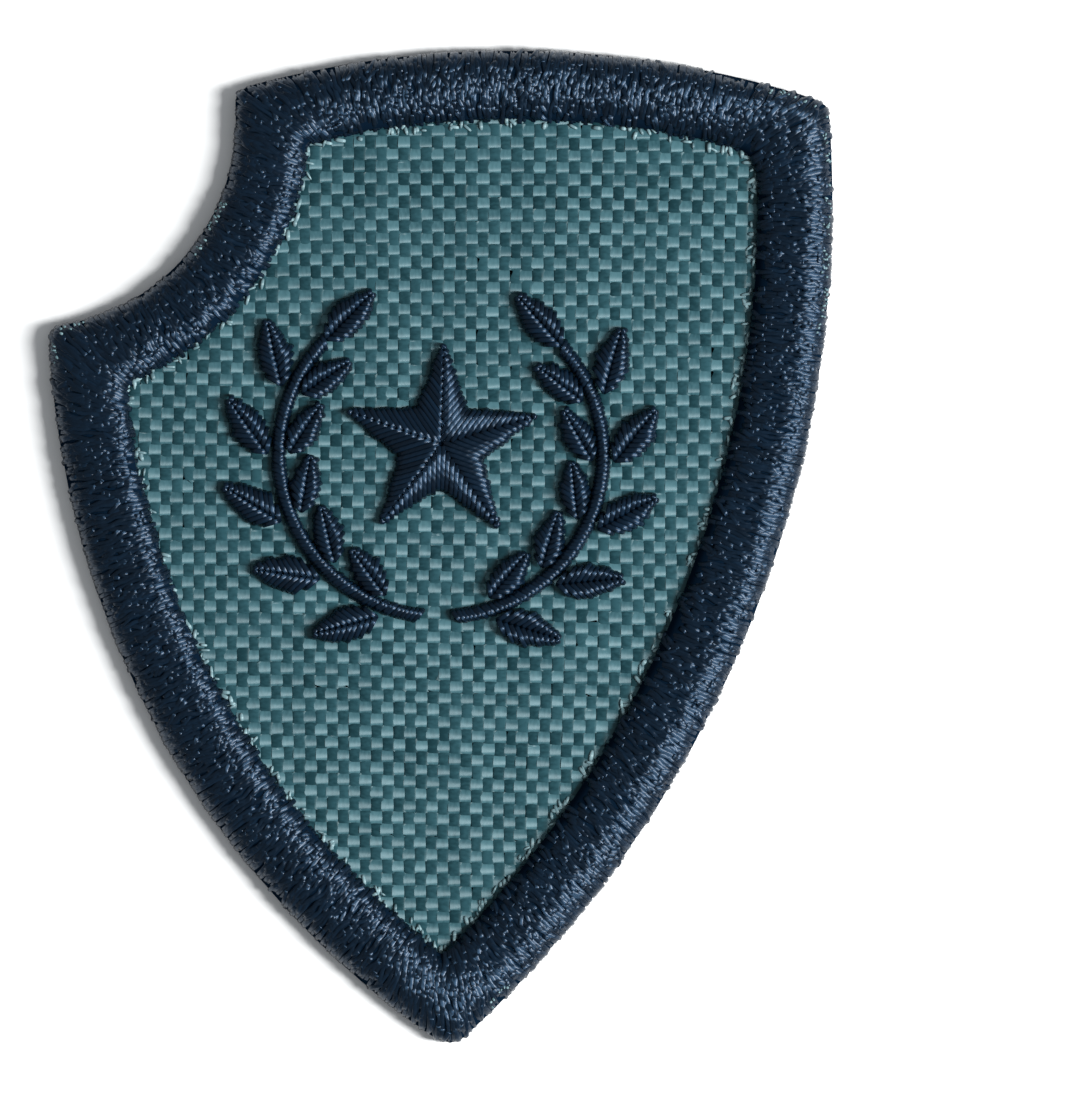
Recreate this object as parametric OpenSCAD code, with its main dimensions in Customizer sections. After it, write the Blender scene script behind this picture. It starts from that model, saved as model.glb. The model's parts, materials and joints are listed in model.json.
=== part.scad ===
// Embroidered cloth badge, lying face up: a shield of plain-woven cloth with a scooped upper
// left corner, a raised satin-stitched border that wraps the cloth's edge, and a stitched
// device of a five-pointed star between two leafy sprigs.
// Millimetres. +X right and +Y up on the badge's face, +Z out of the face, the back at z = 0.

/* [Shield outline] */
// Left end of the top edge, across
top_left_x = -15.8; // [-18:0.1:-13]
// Left end of the top edge, up
top_left_y = 34.6; // [33:0.1:36]
// Right end of the top edge, across
top_right_x = 29.5; // [27:0.1:31]
// Right end of the top edge, up
top_right_y = 33.6; // [32:0.1:35]
// Point of the shield, across
tip_x = 0.8; // [-2:0.1:3]
// Point of the shield, up
tip_y = -38.3; // [-42:0.1:-35]
// Corner below the scoop, across
shoulder_x = -29.8; // [-32:0.1:-27]
// Corner below the scoop, up
shoulder_y = 16.7; // [14:0.1:19]
// How far the top edge bows outwards
top_bow = 3.5; // [1:0.1:5]
// How far the right side bows outwards
right_bow = 9.2; // [6:0.1:12]
// How far the left side bows outwards
left_bow = 7.7; // [5:0.1:10]
// How far the scoop bows inwards
scoop_bow = 4.9; // [2:0.1:7]

/* [Border] */
// Width of the border along the top
top_border_w = 5.4; // [4:0.1:6.5]
// Width of the border down the right side
right_border_w = 5.9; // [4:0.1:6.5]
// Width of the border down the left side
left_border_w = 5.6; // [4:0.1:6.5]
// Width of the border round the scoop
scoop_border_w = 5.6; // [4:0.1:6.5]
// Height of the border's crest above the back
border_top = 2.5; // [2.3:0.1:2.9]
// Height of the border's outer shoulder above the back
border_shoulder = 1.25; // [1:0.05:1.7]
// Height at which the border's outer side turns into its shoulder
border_side = 0.8; // [0.5:0.1:0.9]
// Share of the width, in from the outside, at which the border is highest along the top
top_crest = 0.42; // [0.3:0.01:0.8]
// Share of the width at which the border is highest down the right side
right_crest = 0.64; // [0.3:0.01:0.8]
// Share of the width at which the border is highest down the left side
left_crest = 0.5; // [0.3:0.01:0.8]
// Share of the width at which the border is highest round the scoop
scoop_crest = 0.45; // [0.3:0.01:0.8]
// Rise of the border's inner lip above the groove along the top
top_lip = 0.1; // [0.1:0.05:0.6]
// Rise of the inner lip down the right side
right_lip = 0.1; // [0.1:0.05:0.6]
// Rise of the inner lip down the left side
left_lip = 0.3; // [0.1:0.05:0.6]
// Rise of the inner lip round the scoop
scoop_lip = 0.2; // [0.1:0.05:0.6]
// Thickness of the stitches on the back
back_stitch_t = 0.25; // [0.2:0.05:0.4]
// Share of the border's width that the thread wraps outside the cloth's edge
wrap_share = 0.13; // [0.08:0.01:0.2]

/* [Ground cloth] */
// Thickness of the woven cloth with its stiff coating
cloth_t = 1.0; // [1:0.1:1.3]
// Clear gap between neighbouring pieces
gap = 0.1; // [0.05:0.05:0.15]

/* [Device] */
// Middle of the ring that the sprigs follow, up
device_y = 7.0; // [5:0.1:9]
// Turn of the whole device
device_turn = -1.4; // [-5:0.1:5]
// Middle of the star above the middle of the ring
star_rise = 0.8; // [0:0.1:1.5]
// Middle of the star to a point
star_r = 7.6; // [6:0.1:7.8]
// Middle of the star to a notch between two points
star_notch_r = 3.3; // [2.5:0.1:4]
// Height of the star's middle above its foot
star_h = 0.9; // [0.5:0.05:1]
// Height of the star's edge above its foot
star_edge_h = 0.35; // [0.2:0.05:0.45]
// Radius of the ring that the two stems follow
ring_r = 12.3; // [12:0.1:13]
// Width of a stem
stem_w = 0.9; // [0.6:0.1:1]
// Height of a stem above its foot
stem_h = 0.45; // [0.3:0.05:0.6]
// Length of a leaf
leaf_l = 5.2; // [4:0.1:5.4]
// Width of a leaf
leaf_w = 2.4; // [1.6:0.1:2.5]
// Height of a leaf's two crests above its foot
leaf_h = 0.65; // [0.4:0.05:0.8]
// Angle between a leaf and its stem
leaf_angle = 34; // [32:1:38]
// Pairs of leaves on each stem, below the leaf at its end
leaf_pairs = 5; // [3:1:5]

/* [Hidden] */
// Columns of CORNERS: the corner, and the length taken off it to round the border's outer
// line and its inner line. The corners run clockwise, each at the start of its edge.
AT = 0;
OUTER_CUT = 1;
INNER_CUT = 2;
CORNERS = [
    [[top_left_x, top_left_y],   1.1, 0.6],
    [[top_right_x, top_right_y], 0.9, 2.2],
    [[tip_x, tip_y],             1.6, 0.6],
    [[shoulder_x, shoulder_y],   1.0, 0.6],
];
// Columns of EDGES: how far the edge bows outwards, the width of the border along it, the share
// of that width at which the border is highest, and the rise of its inner lip above the groove
BOW = 0;
WIDTH = 1;
CREST = 2;
LIP = 3;
EDGES = [
    [top_bow,    top_border_w,   top_crest,   top_lip],
    [right_bow,  right_border_w, right_crest, right_lip],
    [left_bow,   left_border_w,  left_crest,  left_lip],
    [-scoop_bow, scoop_border_w, scoop_crest, scoop_lip],
];

// Length along the inner line over which the border's stations fan out at a corner
fan_l = 3.4;
// Stations in one fan, and in the plain stretch of an edge between its two fans
fan_steps = 7;
plain_steps = 12;
// Share of the border's width over which its outer shoulder is rounded
shoulder_share = 0.07;
// Share of the border's width by which its foot is tucked in under its side
foot_tuck = 0.05;

cloth_z = back_stitch_t + gap;
groove_top = cloth_z + cloth_t + gap;
device_z = cloth_z + cloth_t + gap;

navy = "#1B2A3D";
navy_light = "#24364C";
teal = "#486B75";

function unit(v) = v / norm(v);
function left_of(u) = [-u.y, u.x];
function mix(a, b, t) = a + (b - a) * t;
function middle(v) = (min(v) + max(v)) / 2;
function at_angle(c, r, a) = c + r * [cos(a), sin(a)];
function angle_of(v) = atan2(v.y, v.x);
// The turn from angle a to angle b, the short way
function turn(a, b) = (((b - a) % 360) + 540) % 360 - 180;

// Ends, signed radius and centre of edge k's outer arc. A scooped edge's radius is negative.
function corner(k) = CORNERS[k % 4][AT];
function bow(k) = EDGES[k % 4][BOW];
function chord(k) = corner(k + 1) - corner(k);
function arc_r(k) = pow(norm(chord(k)), 2) / (8 * bow(k)) + bow(k) / 2;
function arc_c(k) = mix(corner(k), corner(k + 1), 0.5)
    + left_of(unit(chord(k))) * (bow(k) - arc_r(k));
function outer_r(k) = abs(arc_r(k));
function inner_r(k) = abs(arc_r(k) - EDGES[k % 4][WIDTH]);

// Where two circles meet, at the crossing nearer to a point
function circles_meet(c1, r1, c2, r2, near) =
    let (
        d = norm(c2 - c1),
        u = unit(c2 - c1),
        a = (r1 * r1 - r2 * r2 + d * d) / (2 * d),
        h = sqrt(max(0, r1 * r1 - a * a)),
        p = c1 + u * a + left_of(u) * h,
        q = c1 + u * a - left_of(u) * h
    ) norm(p - near) < norm(q - near) ? p : q;
// The corner of the border's inner line at the start of edge k
function inner_corner(k) =
    circles_meet(arc_c(k), inner_r(k), arc_c(k + 3), inner_r(k + 3), corner(k));

// Clockwise heading of edge k's arcs at a point
function heading(k, p) =
    let (out = unit(p - arc_c(k)))
    arc_r(k) > 0 ? -left_of(out) : left_of(out);
// A point s past corner c of the rounded line, or before it where s is negative
function rounded(c, into, out, s, cut) =
    let (t = (s + cut) / (2 * cut))
    pow(1 - t, 2) * (c - into * cut) + 2 * t * (1 - t) * c + pow(t, 2) * (c + out * cut);
// Point p of edge k's line, moved onto the rounding of the line's corner where it is near.
// The line runs from corner c0 to corner c1, and column cut of CORNERS rounds it.
function softened(k, p, c0, c1, cut) =
    let (
        cut0 = CORNERS[k % 4][cut],
        cut1 = CORNERS[(k + 1) % 4][cut]
    )
    norm(p - c0) < cut0
        ? rounded(c0, heading(k + 3, c0), heading(k, c0), norm(p - c0), cut0)
    : norm(p - c1) < cut1
        ? rounded(c1, heading(k, c1), heading(k + 1, c1), -norm(p - c1), cut1)
    : p;

// Stations [outer point, inner point] along edge k, from its first corner up to but not
// including its last. Both arcs share a centre, so equal angles lie square across.
function edge_stations(k) =
    let (
        c = arc_c(k),
        in_a = inner_corner(k),
        in_b = inner_corner(k + 1),
        a0 = angle_of(corner(k) - c),
        whole = turn(a0, angle_of(corner(k + 1) - c)),
        in0 = turn(a0, angle_of(in_a - c)),
        in1 = turn(a0, angle_of(in_b - c)),
        fan = sign(whole) * fan_l / inner_r(k) * 180 / PI,
        steps = concat(
            [for (j = [0 : fan_steps - 1]) let (t = j / fan_steps)
                [mix(0, in0 + fan, t), mix(in0, in0 + fan, t)]],
            [for (j = [0 : plain_steps - 1]) let (a = mix(in0 + fan, in1 - fan, j / plain_steps))
                [a, a]],
            [for (j = [0 : fan_steps - 1]) let (t = j / fan_steps)
                [mix(in1 - fan, whole, t), mix(in1 - fan, in1, t)]]
        )
    )
    [for (s = steps) [
        softened(k, at_angle(c, outer_r(k), a0 + s[0]), corner(k), corner(k + 1), OUTER_CUT),
        softened(k, at_angle(c, inner_r(k), a0 + s[1]), in_a, in_b, INNER_CUT)
    ]];

// The crest's share and the lip's rise at each of edge k's stations: its own along the plain
// stretch, and blended with its neighbour's in the fan at either corner
function top_of(k) = [EDGES[k % 4][CREST], EDGES[k % 4][LIP]];
function edge_tops(k) =
    let (here = top_of(k), first = mix(top_of(k + 3), here, 0.5), last = mix(here, top_of(k + 1), 0.5))
    concat(
        [for (j = [0 : fan_steps - 1]) mix(first, here, j / fan_steps)],
        [for (j = [0 : plain_steps - 1]) here],
        [for (j = [0 : fan_steps - 1]) mix(here, last, j / fan_steps)]
    );

// All stations, shifted so that the outline's box is centred on the origin
DRAWN = [for (k = [0 : 3]) each edge_stations(k)];
TOPS = [for (k = [0 : 3]) each edge_tops(k)];
SHIFT = [middle([for (s = DRAWN) s[0].x]), middle([for (s = DRAWN) s[0].y])];
STATIONS = [for (s = DRAWN) [s[0] - SHIFT, s[1] - SHIFT]];

// Height of the border's top at a share of its width in from the outer line, where crest is the
// share at which it is highest and lip its rise above the groove at the inner line
function top_height(share, crest, lip) =
    let (
        away = share < crest ? (crest - share) / crest : (share - crest) / (1 - crest),
        end = share < crest ? border_shoulder : groove_top + lip,
        short = max(0, 1 - share / shoulder_share)
    )
    border_side + (border_top - (border_top - end) * pow(away, 3) - border_side)
        * sqrt(1 - short * short);

// The border's section as [share of the width, height], a closed line with a groove that holds
// the cloth's edge
function border_section(crest, lip) = concat(
    [[foot_tuck, 0], [0, border_side / 2]],
    [for (share = [0, shoulder_share / 4, shoulder_share, crest / 2, crest,
                   mix(crest, 1, 0.45), mix(crest, 1, 0.8), 1])
        [share, top_height(share, crest, lip)]],
    [
        [1, groove_top],
        [wrap_share, groove_top],
        [wrap_share, back_stitch_t],
        [1, back_stitch_t],
        [1, 0]
    ]
);

// A tube over equal rings of points, each clockwise seen from behind. It is joined end to
// start where it is closed, or else capped.
module loft(rings, closed = false) {
    n = len(rings);
    m = len(rings[0]);
    sides = [for (i = [0 : n - (closed ? 1 : 2)], j = [0 : m - 1])
        let (
            a = i * m + j,
            b = i * m + (j + 1) % m,
            c = (i + 1) % n * m + (j + 1) % m,
            d = (i + 1) % n * m + j
        ) each [[a, c, b], [a, d, c]]];
    caps = closed ? [] : [
        [for (j = [0 : m - 1]) j],
        [for (j = [m - 1 : -1 : 0]) (n - 1) * m + j]
    ];
    polyhedron([for (r = rings) each r], concat(sides, caps), convexity = 6);
}

// Woven cloth, cut to the shield and held in the border's groove
module ground_cloth() {
    color(teal)
        translate([0, 0, cloth_z])
            linear_extrude(cloth_t)
                polygon([for (s = STATIONS)
                    let (across = s[1] - s[0])
                    s[0] + unit(across) * (wrap_share * norm(across) + gap)]);
}

// Raised satin-stitched border, wrapped round the cloth's edge
module border() {
    color(navy)
        loft([for (i = [0 : len(STATIONS) - 1])
            [for (q = border_section(TOPS[i][0], TOPS[i][1]))
                let (p = mix(STATIONS[i][0], STATIONS[i][1], q[0])) [p.x, p.y, q[1]]]],
            closed = true);
}

// Moves its children to the middle of the device, just above the cloth
module on_device() {
    translate([0, device_y, device_z]) rotate(device_turn) children();
}

// Five-pointed star, each arm two slopes that meet in a ridge
module star() {
    rim = [for (i = [0 : 9])
        at_angle([0, star_rise], i % 2 == 0 ? star_r : star_notch_r, 90 - 36 * i)];
    color(navy_light)
        on_device()
            polyhedron(
                concat(
                    [for (p = rim) [p.x, p.y, 0]],
                    [for (p = rim) [p.x, p.y, star_edge_h]],
                    [[0, star_rise, star_h]]
                ),
                concat(
                    [[for (i = [9 : -1 : 0]) i]],
                    [for (i = [0 : 9]) let (j = (i + 1) % 10) each
                        [[i, j, 10 + j], [i, 10 + j, 10 + i], [20, 10 + i, 10 + j]]]
                )
            );
}

// Angles on the ring of the right-hand stem's two ends and of its lowest pair of leaves
stem_from = -84;
stem_to = 43;
leaf_from = -72;
stem_steps = 18;
// Clear length between the stem and a leaf's foot
stalk_l = 0.55;
// Size of an inner leaf as a share of an outer one
inner_leaf_share = 0.86;

// Columns of a stem's and a leaf's section: the share of the half width, and of the height
STEM_SECTION = [[-1, 0], [-1, 0.4], [-0.5, 0.9], [0, 1], [0.5, 0.9], [1, 0.4], [1, 0]];
LEAF_SECTION = [[-1, 0], [-1, 0.4], [-0.55, 1], [0, 0.55], [0.55, 1], [1, 0.4], [1, 0]];
// Columns of LEAF_LENGTHS: the share of a leaf's length, and there its share of the full
// width and of the full height
LEAF_LENGTHS = [
    [0,    0.15, 0.5],
    [0.12, 0.58, 0.8],
    [0.3,  0.95, 1],
    [0.5,  1,    1],
    [0.72, 0.72, 0.95],
    [0.9,  0.33, 0.75],
    [1,    0.08, 0.5],
];

// A thin satin-stitched line that follows the ring
module stem() {
    loft([for (i = [0 : stem_steps])
        [for (q = STEM_SECTION)
            let (p = at_angle([0, 0], ring_r + q[0] * stem_w / 2,
                              mix(stem_from, stem_to, i / stem_steps)))
            [p.x, p.y, q[1] * stem_h]]]);
}

// One leaf from the origin along +X, with two crests beside a sunk middle vein
module leaf(size = 1) {
    loft([for (s = LEAF_LENGTHS)
        [for (q = LEAF_SECTION)
            [s[0] * leaf_l * size, -q[0] * s[1] * leaf_w * size / 2, q[1] * s[2] * leaf_h]]]);
}

// Leaf i of the right-hand sprig: outer and inner leaves in pairs from the bottom up, then
// the leaf at the stem's end
module placed_leaf(i) {
    if (i == LEAF_COUNT - 1)
        rotate(stem_to) translate([ring_r, 0, 0]) rotate(90) translate([gap, 0, 0]) leaf();
    else {
        side = i % 2 == 0 ? 1 : -1;
        rotate(mix(leaf_from, stem_to, floor(i / 2) / leaf_pairs))
            translate([ring_r + side * (stem_w / 2 + gap), 0, 0])
                rotate(90 - side * leaf_angle)
                    translate([stalk_l, 0, 0]) leaf(side > 0 ? 1 : inner_leaf_share);
    }
}

// A sprig's piece on the device, turned over to the other side for the left hand
module sprig(hand) {
    color(navy_light)
        on_device()
            if (hand == "left") mirror([1, 0, 0]) children();
            else children();
}

HANDS = ["right", "left"];
LEAF_COUNT = 2 * leaf_pairs + 1;

ground_cloth();
border();
star();
for (hand = HANDS)
    sprig(hand) stem();
for (hand = HANDS, i = [0 : LEAF_COUNT - 1])
    sprig(hand) placed_leaf(i);
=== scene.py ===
"""Embroidered cloth badge, lying face up on a pale floor.

A shield of coarse plain-woven cloth with a scooped upper left corner, a raised satin-stitched
border that wraps the cloth's edge, and a stitched device of a star between two leafy sprigs.
Sizes are in millimetres here and become metres when a mesh is made. +X is right and +Y is up
on the badge's face, and +Z points out of it.
"""

import json
import logging
import math
from contextlib import contextmanager
from dataclasses import dataclass, field, replace
from enum import Enum
from typing import Callable, Iterable, Iterator, Sequence

import bmesh
import bpy
import numpy as np
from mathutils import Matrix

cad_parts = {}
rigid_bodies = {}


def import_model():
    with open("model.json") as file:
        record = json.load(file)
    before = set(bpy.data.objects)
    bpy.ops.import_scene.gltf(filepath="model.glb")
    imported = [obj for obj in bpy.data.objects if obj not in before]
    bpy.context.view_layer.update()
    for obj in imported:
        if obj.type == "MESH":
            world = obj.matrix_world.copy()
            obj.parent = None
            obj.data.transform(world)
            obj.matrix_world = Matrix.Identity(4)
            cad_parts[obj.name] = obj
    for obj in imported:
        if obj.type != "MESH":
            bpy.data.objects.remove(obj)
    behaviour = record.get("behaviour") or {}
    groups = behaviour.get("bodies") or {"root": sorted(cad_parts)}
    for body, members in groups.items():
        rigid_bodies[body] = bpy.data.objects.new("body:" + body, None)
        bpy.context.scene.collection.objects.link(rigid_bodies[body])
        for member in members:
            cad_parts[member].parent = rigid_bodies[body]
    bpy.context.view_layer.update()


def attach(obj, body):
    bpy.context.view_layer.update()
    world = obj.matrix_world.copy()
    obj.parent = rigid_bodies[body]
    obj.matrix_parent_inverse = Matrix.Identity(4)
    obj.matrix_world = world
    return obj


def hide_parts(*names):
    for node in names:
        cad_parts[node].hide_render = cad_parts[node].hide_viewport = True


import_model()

log = logging.getLogger("badge")

MM = 0.001
# Points nearer than these to a line, or to each other, count as on it or as one
NEAR = 0.1
DOUBLE = 0.001
FULL_TURN = 2 * math.pi
SEED = 11828
UV_NAME = "strand"
TONE_NAME = "tone"
# A noise node's values lie mostly within a quarter of their middle, so this stretches that to one
NOISE_MIDDLE = 0.5
NOISE_STRETCH = 4.0
# The plies of a thread, and the radians by which its tone turns their start, so no two look alike
PLIES = 2
PLY_START = 90.0
# The beta distribution of a thread's tone, which leans to the dark
TONE_SHAPE = (2, 3)
# The share of a turn that lays the shine across a strand
ACROSS = 0.25


class Hand(Enum):
    """The side of the device that a sprig grows on."""

    RIGHT = "right"
    LEFT = "left"


class Way(Enum):
    """The way a yarn runs in the cloth."""

    WEFT = "weft"
    WARP = "warp"


class Draws(Enum):
    """The starts of the random draws, one for each kind of piece, so that none shifts another.

    The warp yarns take the number after the weft's.
    """

    WOUND = 0
    BACK = 1
    YARN = 2
    STAR = 4
    LEAF = 5
    STEM = 6
    FRAY = 7
    OVER = 8


def linear_colour(hex_code: str) -> tuple[float, float, float, float]:
    """Turn an sRGB hex colour into the linear colour that a shader reads.

    Args:
        hex_code: Colour as "#rrggbb".

    Returns:
        Linear red, green, blue and an alpha of one.
    """
    channels = [int(hex_code[i:i + 2], 16) / 255 for i in (1, 3, 5)]
    linear = [c / 12.92 if c <= 0.04045 else ((c + 0.055) / 1.055) ** 2.4 for c in channels]
    return (linear[0], linear[1], linear[2], 1.0)


def unit(v: np.ndarray) -> np.ndarray:
    """Scale vectors along the last axis to length one."""
    return v / np.maximum(np.linalg.norm(v, axis=-1, keepdims=True), 1e-12)


def mix(a: float | np.ndarray, b: float | np.ndarray, t: float | np.ndarray) -> np.ndarray:
    """Go from a to b by the share t."""
    return a + (b - a) * t


def raised(flat: np.ndarray, height: np.ndarray) -> np.ndarray:
    """Give flat places their heights, as a third value along the last axis."""
    return np.concatenate([flat, height[..., None]], axis=-1)


def level_side(way: np.ndarray) -> np.ndarray:
    """Give the level direction square to each strand's heading, strands by 1 by X, Y and Z."""
    return np.stack([-way[:, 1], way[:, 0], np.zeros(len(way))], axis=1)[:, None, :]


def thread_tones(draw: np.random.Generator, count: int) -> np.ndarray:
    """Draw a tone for each of some threads, strands by 1, mostly in the darker half."""
    return draw.beta(*TONE_SHAPE, (count, 1))


def uneven(draw: np.random.Generator, middle: float, spread: float, cell: np.ndarray) -> np.ndarray:
    """Draw a value for each numbered cell and give it at each of the marks that lie in a cell."""
    return draw.normal(middle, spread, cell.max() + 1)[cell]


def turned(points: np.ndarray, degrees: float) -> np.ndarray:
    """Turn points about the Z axis.

    Args:
        points: Points, X and Y first along the last axis.
        degrees: Turn, anticlockwise.

    Returns:
        The turned points.
    """
    c, s = math.cos(math.radians(degrees)), math.sin(math.radians(degrees))
    out = points.copy()
    out[..., 0] = c * points[..., 0] - s * points[..., 1]
    out[..., 1] = s * points[..., 0] + c * points[..., 1]
    return out


@dataclass(frozen=True)
class Corner:
    """A corner of the shield, with the lengths taken off it to round its two lines."""

    at: tuple[float, float]
    outer_cut: float
    inner_cut: float


@dataclass(frozen=True)
class Edge:
    """An edge of the shield and its border.

    The bow is outwards, the crest is the share of the border's width at which it is highest, the
    lip is its height at the inner line, and the thread stops the short length before that line.
    """

    bow: float
    border_w: float
    crest: float
    lip: float
    short: float


@dataclass(frozen=True)
class Shield:
    """The shield's outline and the line inside its border, as four pairs of circular arcs.

    Corner k starts edge k, and both run clockwise. Steps are the number of stations in the fan at
    either corner of an edge, and in the plain stretch between.
    """

    corners: tuple[Corner, ...] = (
        Corner((-15.8, 34.6), 1.1, 0.6),
        Corner((29.5, 33.6), 0.9, 2.2),
        Corner((0.8, -38.3), 1.6, 0.6),
        Corner((-29.8, 16.7), 1.0, 0.6),
    )
    edges: tuple[Edge, ...] = (Edge(3.5, 5.4, 0.42, 1.55, 0.2), Edge(9.2, 5.9, 0.64, 1.55, 0.36),
                               Edge(7.7, 5.6, 0.5, 1.75, 0.08), Edge(-4.9, 5.6, 0.45, 1.65, 0.08))
    fan_l: float = 3.4
    cad_steps: tuple[int, int] = (7, 12)
    trial_steps: int = 8

    def corner(self, k: int) -> np.ndarray:
        """Give the sharp outer corner that starts edge k."""
        return np.array(self.corners[k % 4].at)

    def radius(self, k: int) -> float:
        """Give edge k's outer radius, negative where the edge is scooped."""
        bow = self.edges[k % 4].bow
        return float(np.sum((self.corner(k + 1) - self.corner(k)) ** 2) / (8 * bow) + bow / 2)

    def centre(self, k: int) -> np.ndarray:
        """Give the centre of edge k's arcs.

        Args:
            k: Number of the edge.

        Returns:
            X and Y.
        """
        a, b = self.corner(k), self.corner(k + 1)
        u = unit(b - a)
        return (a + b) / 2 + np.array([-u[1], u[0]]) * (self.edges[k % 4].bow - self.radius(k))

    def outer_r(self, k: int) -> float:
        """Give the plain radius of edge k's outer arc."""
        return abs(self.radius(k))

    def inner_r(self, k: int) -> float:
        """Give the plain radius of edge k's inner arc."""
        return abs(self.radius(k) - self.edges[k % 4].border_w)

    def inner_corner(self, k: int) -> np.ndarray:
        """Give the corner of the border's inner line at the start of edge k.

        Args:
            k: Number of the edge or corner.

        Returns:
            X and Y.
        """
        c1, r1, c2, r2 = self.centre(k), self.inner_r(k), self.centre(k + 3), self.inner_r(k + 3)
        d = float(np.linalg.norm(c2 - c1))
        u = unit(c2 - c1)
        a = (r1 * r1 - r2 * r2 + d * d) / (2 * d)
        h = math.sqrt(max(0.0, r1 * r1 - a * a))
        across = np.array([-u[1], u[0]]) * h
        near = self.corner(k)
        return min((c1 + u * a + across, c1 + u * a - across), key=lambda p: np.linalg.norm(p - near))

    def heading(self, k: int, p: np.ndarray) -> np.ndarray:
        """Give the clockwise heading of edge k's arcs at a point.

        Args:
            k: Number of the edge.
            p: Point on or near its arcs.

        Returns:
            Direction of length one.
        """
        out = unit(p - self.centre(k))
        along = np.array([out[1], -out[0]])
        return along if self.radius(k) > 0 else -along

    def softened(self, k: int, p: np.ndarray, c0: np.ndarray, c1: np.ndarray,
                 cuts: tuple[float, float]) -> np.ndarray:
        """Move a point of edge k's line onto the rounding of a corner that it is near.

        Args:
            k: Number of the edge.
            p: Point of the line.
            c0: Corner at the start of the line.
            c1: Corner at the end of the line.
            cuts: Lengths taken off the two corners.

        Returns:
            The point, moved where it is near a corner.
        """
        for c, cut, into, out, sign in ((c0, cuts[0], k + 3, k, 1), (c1, cuts[1], k, k + 1, -1)):
            near = float(np.linalg.norm(p - c))
            if near < cut:
                t = (sign * near + cut) / (2 * cut)
                start, end = c - self.heading(into, c) * cut, c + self.heading(out, c) * cut
                return (1 - t) ** 2 * start + 2 * t * (1 - t) * c + t ** 2 * end
        return p

    def edge_stations(self, k: int, fan_steps: int, plain_steps: int) -> np.ndarray:
        """Place pairs of an outer and an inner point along edge k.

        Args:
            k: Number of the edge.
            fan_steps: Stations in the fan at either corner.
            plain_steps: Stations in the stretch between the two fans.

        Returns:
            Array of stations by outer and inner by X and Y, without the last corner.
        """
        c, in_a, in_b = self.centre(k), self.inner_corner(k), self.inner_corner(k + 1)
        start = self.corner(k) - c
        a0 = math.atan2(start[1], start[0])

        def turn(p: np.ndarray) -> float:
            """Give the turn from the edge's start to a point, the short way."""
            a = math.atan2(p[1] - c[1], p[0] - c[0]) - a0
            return (a + math.pi) % FULL_TURN - math.pi

        whole, in0, in1 = turn(self.corner(k + 1)), turn(in_a), turn(in_b)
        fan = math.copysign(self.fan_l / self.inner_r(k), whole)
        first = [(mix(0, in0 + fan, j / fan_steps), mix(in0, in0 + fan, j / fan_steps))
                 for j in range(fan_steps)]
        plain = [(mix(in0 + fan, in1 - fan, j / plain_steps),) * 2 for j in range(plain_steps)]
        last = [(mix(in1 - fan, whole, j / fan_steps), mix(in1 - fan, in1, j / fan_steps))
                for j in range(fan_steps)]
        here, after = self.corners[k % 4], self.corners[(k + 1) % 4]
        stations = []
        for out_a, in_angle in first + plain + last:
            outer = c + self.outer_r(k) * np.array([math.cos(a0 + out_a), math.sin(a0 + out_a)])
            inner = c + self.inner_r(k) * np.array([math.cos(a0 + in_angle), math.sin(a0 + in_angle)])
            stations.append((
                self.softened(k, outer, self.corner(k), self.corner(k + 1),
                              (here.outer_cut, after.outer_cut)),
                self.softened(k, inner, in_a, in_b, (here.inner_cut, after.inner_cut)),
            ))
        return np.array(stations)

    def edge_tops(self, k: int, fan_steps: int, plain_steps: int) -> np.ndarray:
        """Give the crest, lip and short length at each of edge k's stations.

        Args:
            k: Number of the edge.
            fan_steps: Stations in the fan at either corner.
            plain_steps: Stations in the stretch between the two fans.

        Returns:
            Stations by crest, lip and short length, blended with the neighbouring edge's in each fan.
        """
        near = [self.edges[(k + i) % 4] for i in (3, 0, 1)]
        before, here, after = (np.array([edge.crest, edge.lip, edge.short]) for edge in near)
        part = np.arange(fan_steps)[:, None] / fan_steps
        return np.concatenate([mix((before + here) / 2, here, part), np.tile(here, (plain_steps, 1)),
                               mix(here, (here + after) / 2, part)])

    def stations(self, steps: Iterable[tuple[int, int]]) -> tuple[np.ndarray, np.ndarray]:
        """Give stations all round, before they are centred.

        Args:
            steps: For each edge, its steps in a fan and in the plain stretch.

        Returns:
            Stations by outer and inner by X and Y, and stations by crest, lip and short length.
        """
        steps = list(steps)
        return (np.concatenate([self.edge_stations(k, *counts) for k, counts in enumerate(steps)]),
                np.concatenate([self.edge_tops(k, *counts) for k, counts in enumerate(steps)]))

    def shift(self) -> np.ndarray:
        """Give the middle of the outline's box, which the badge's frame is centred on."""
        outer = self.stations([self.cad_steps] * 4)[0][:, 0]
        return (outer.min(axis=0) + outer.max(axis=0)) / 2

    def ring(self) -> tuple[np.ndarray, np.ndarray]:
        """Give the centred stations that the solid border is made from, and the tops there."""
        drawn, tops = self.stations([self.cad_steps] * 4)
        return drawn - self.shift(), tops

    def fine_ring(self, spacing: float) -> tuple[np.ndarray, np.ndarray]:
        """Give closely spaced centred stations all round, and the tops there.

        Args:
            spacing: Distance between stations along the middle of the border.

        Returns:
            Stations by outer and inner by X and Y, and stations by crest, lip and short length.
        """
        trial, steps = self.trial_steps, []
        for k in range(4):
            middle = self.edge_stations(k, trial, trial).mean(axis=1)
            run = np.linalg.norm(np.diff(middle, axis=0), axis=1)
            steps.append(tuple(max(2, round(float(part.sum()) / spacing))
                               for part in (run[:trial], run[trial:2 * trial])))
        drawn, tops = self.stations(steps)
        return drawn - self.shift(), tops


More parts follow.
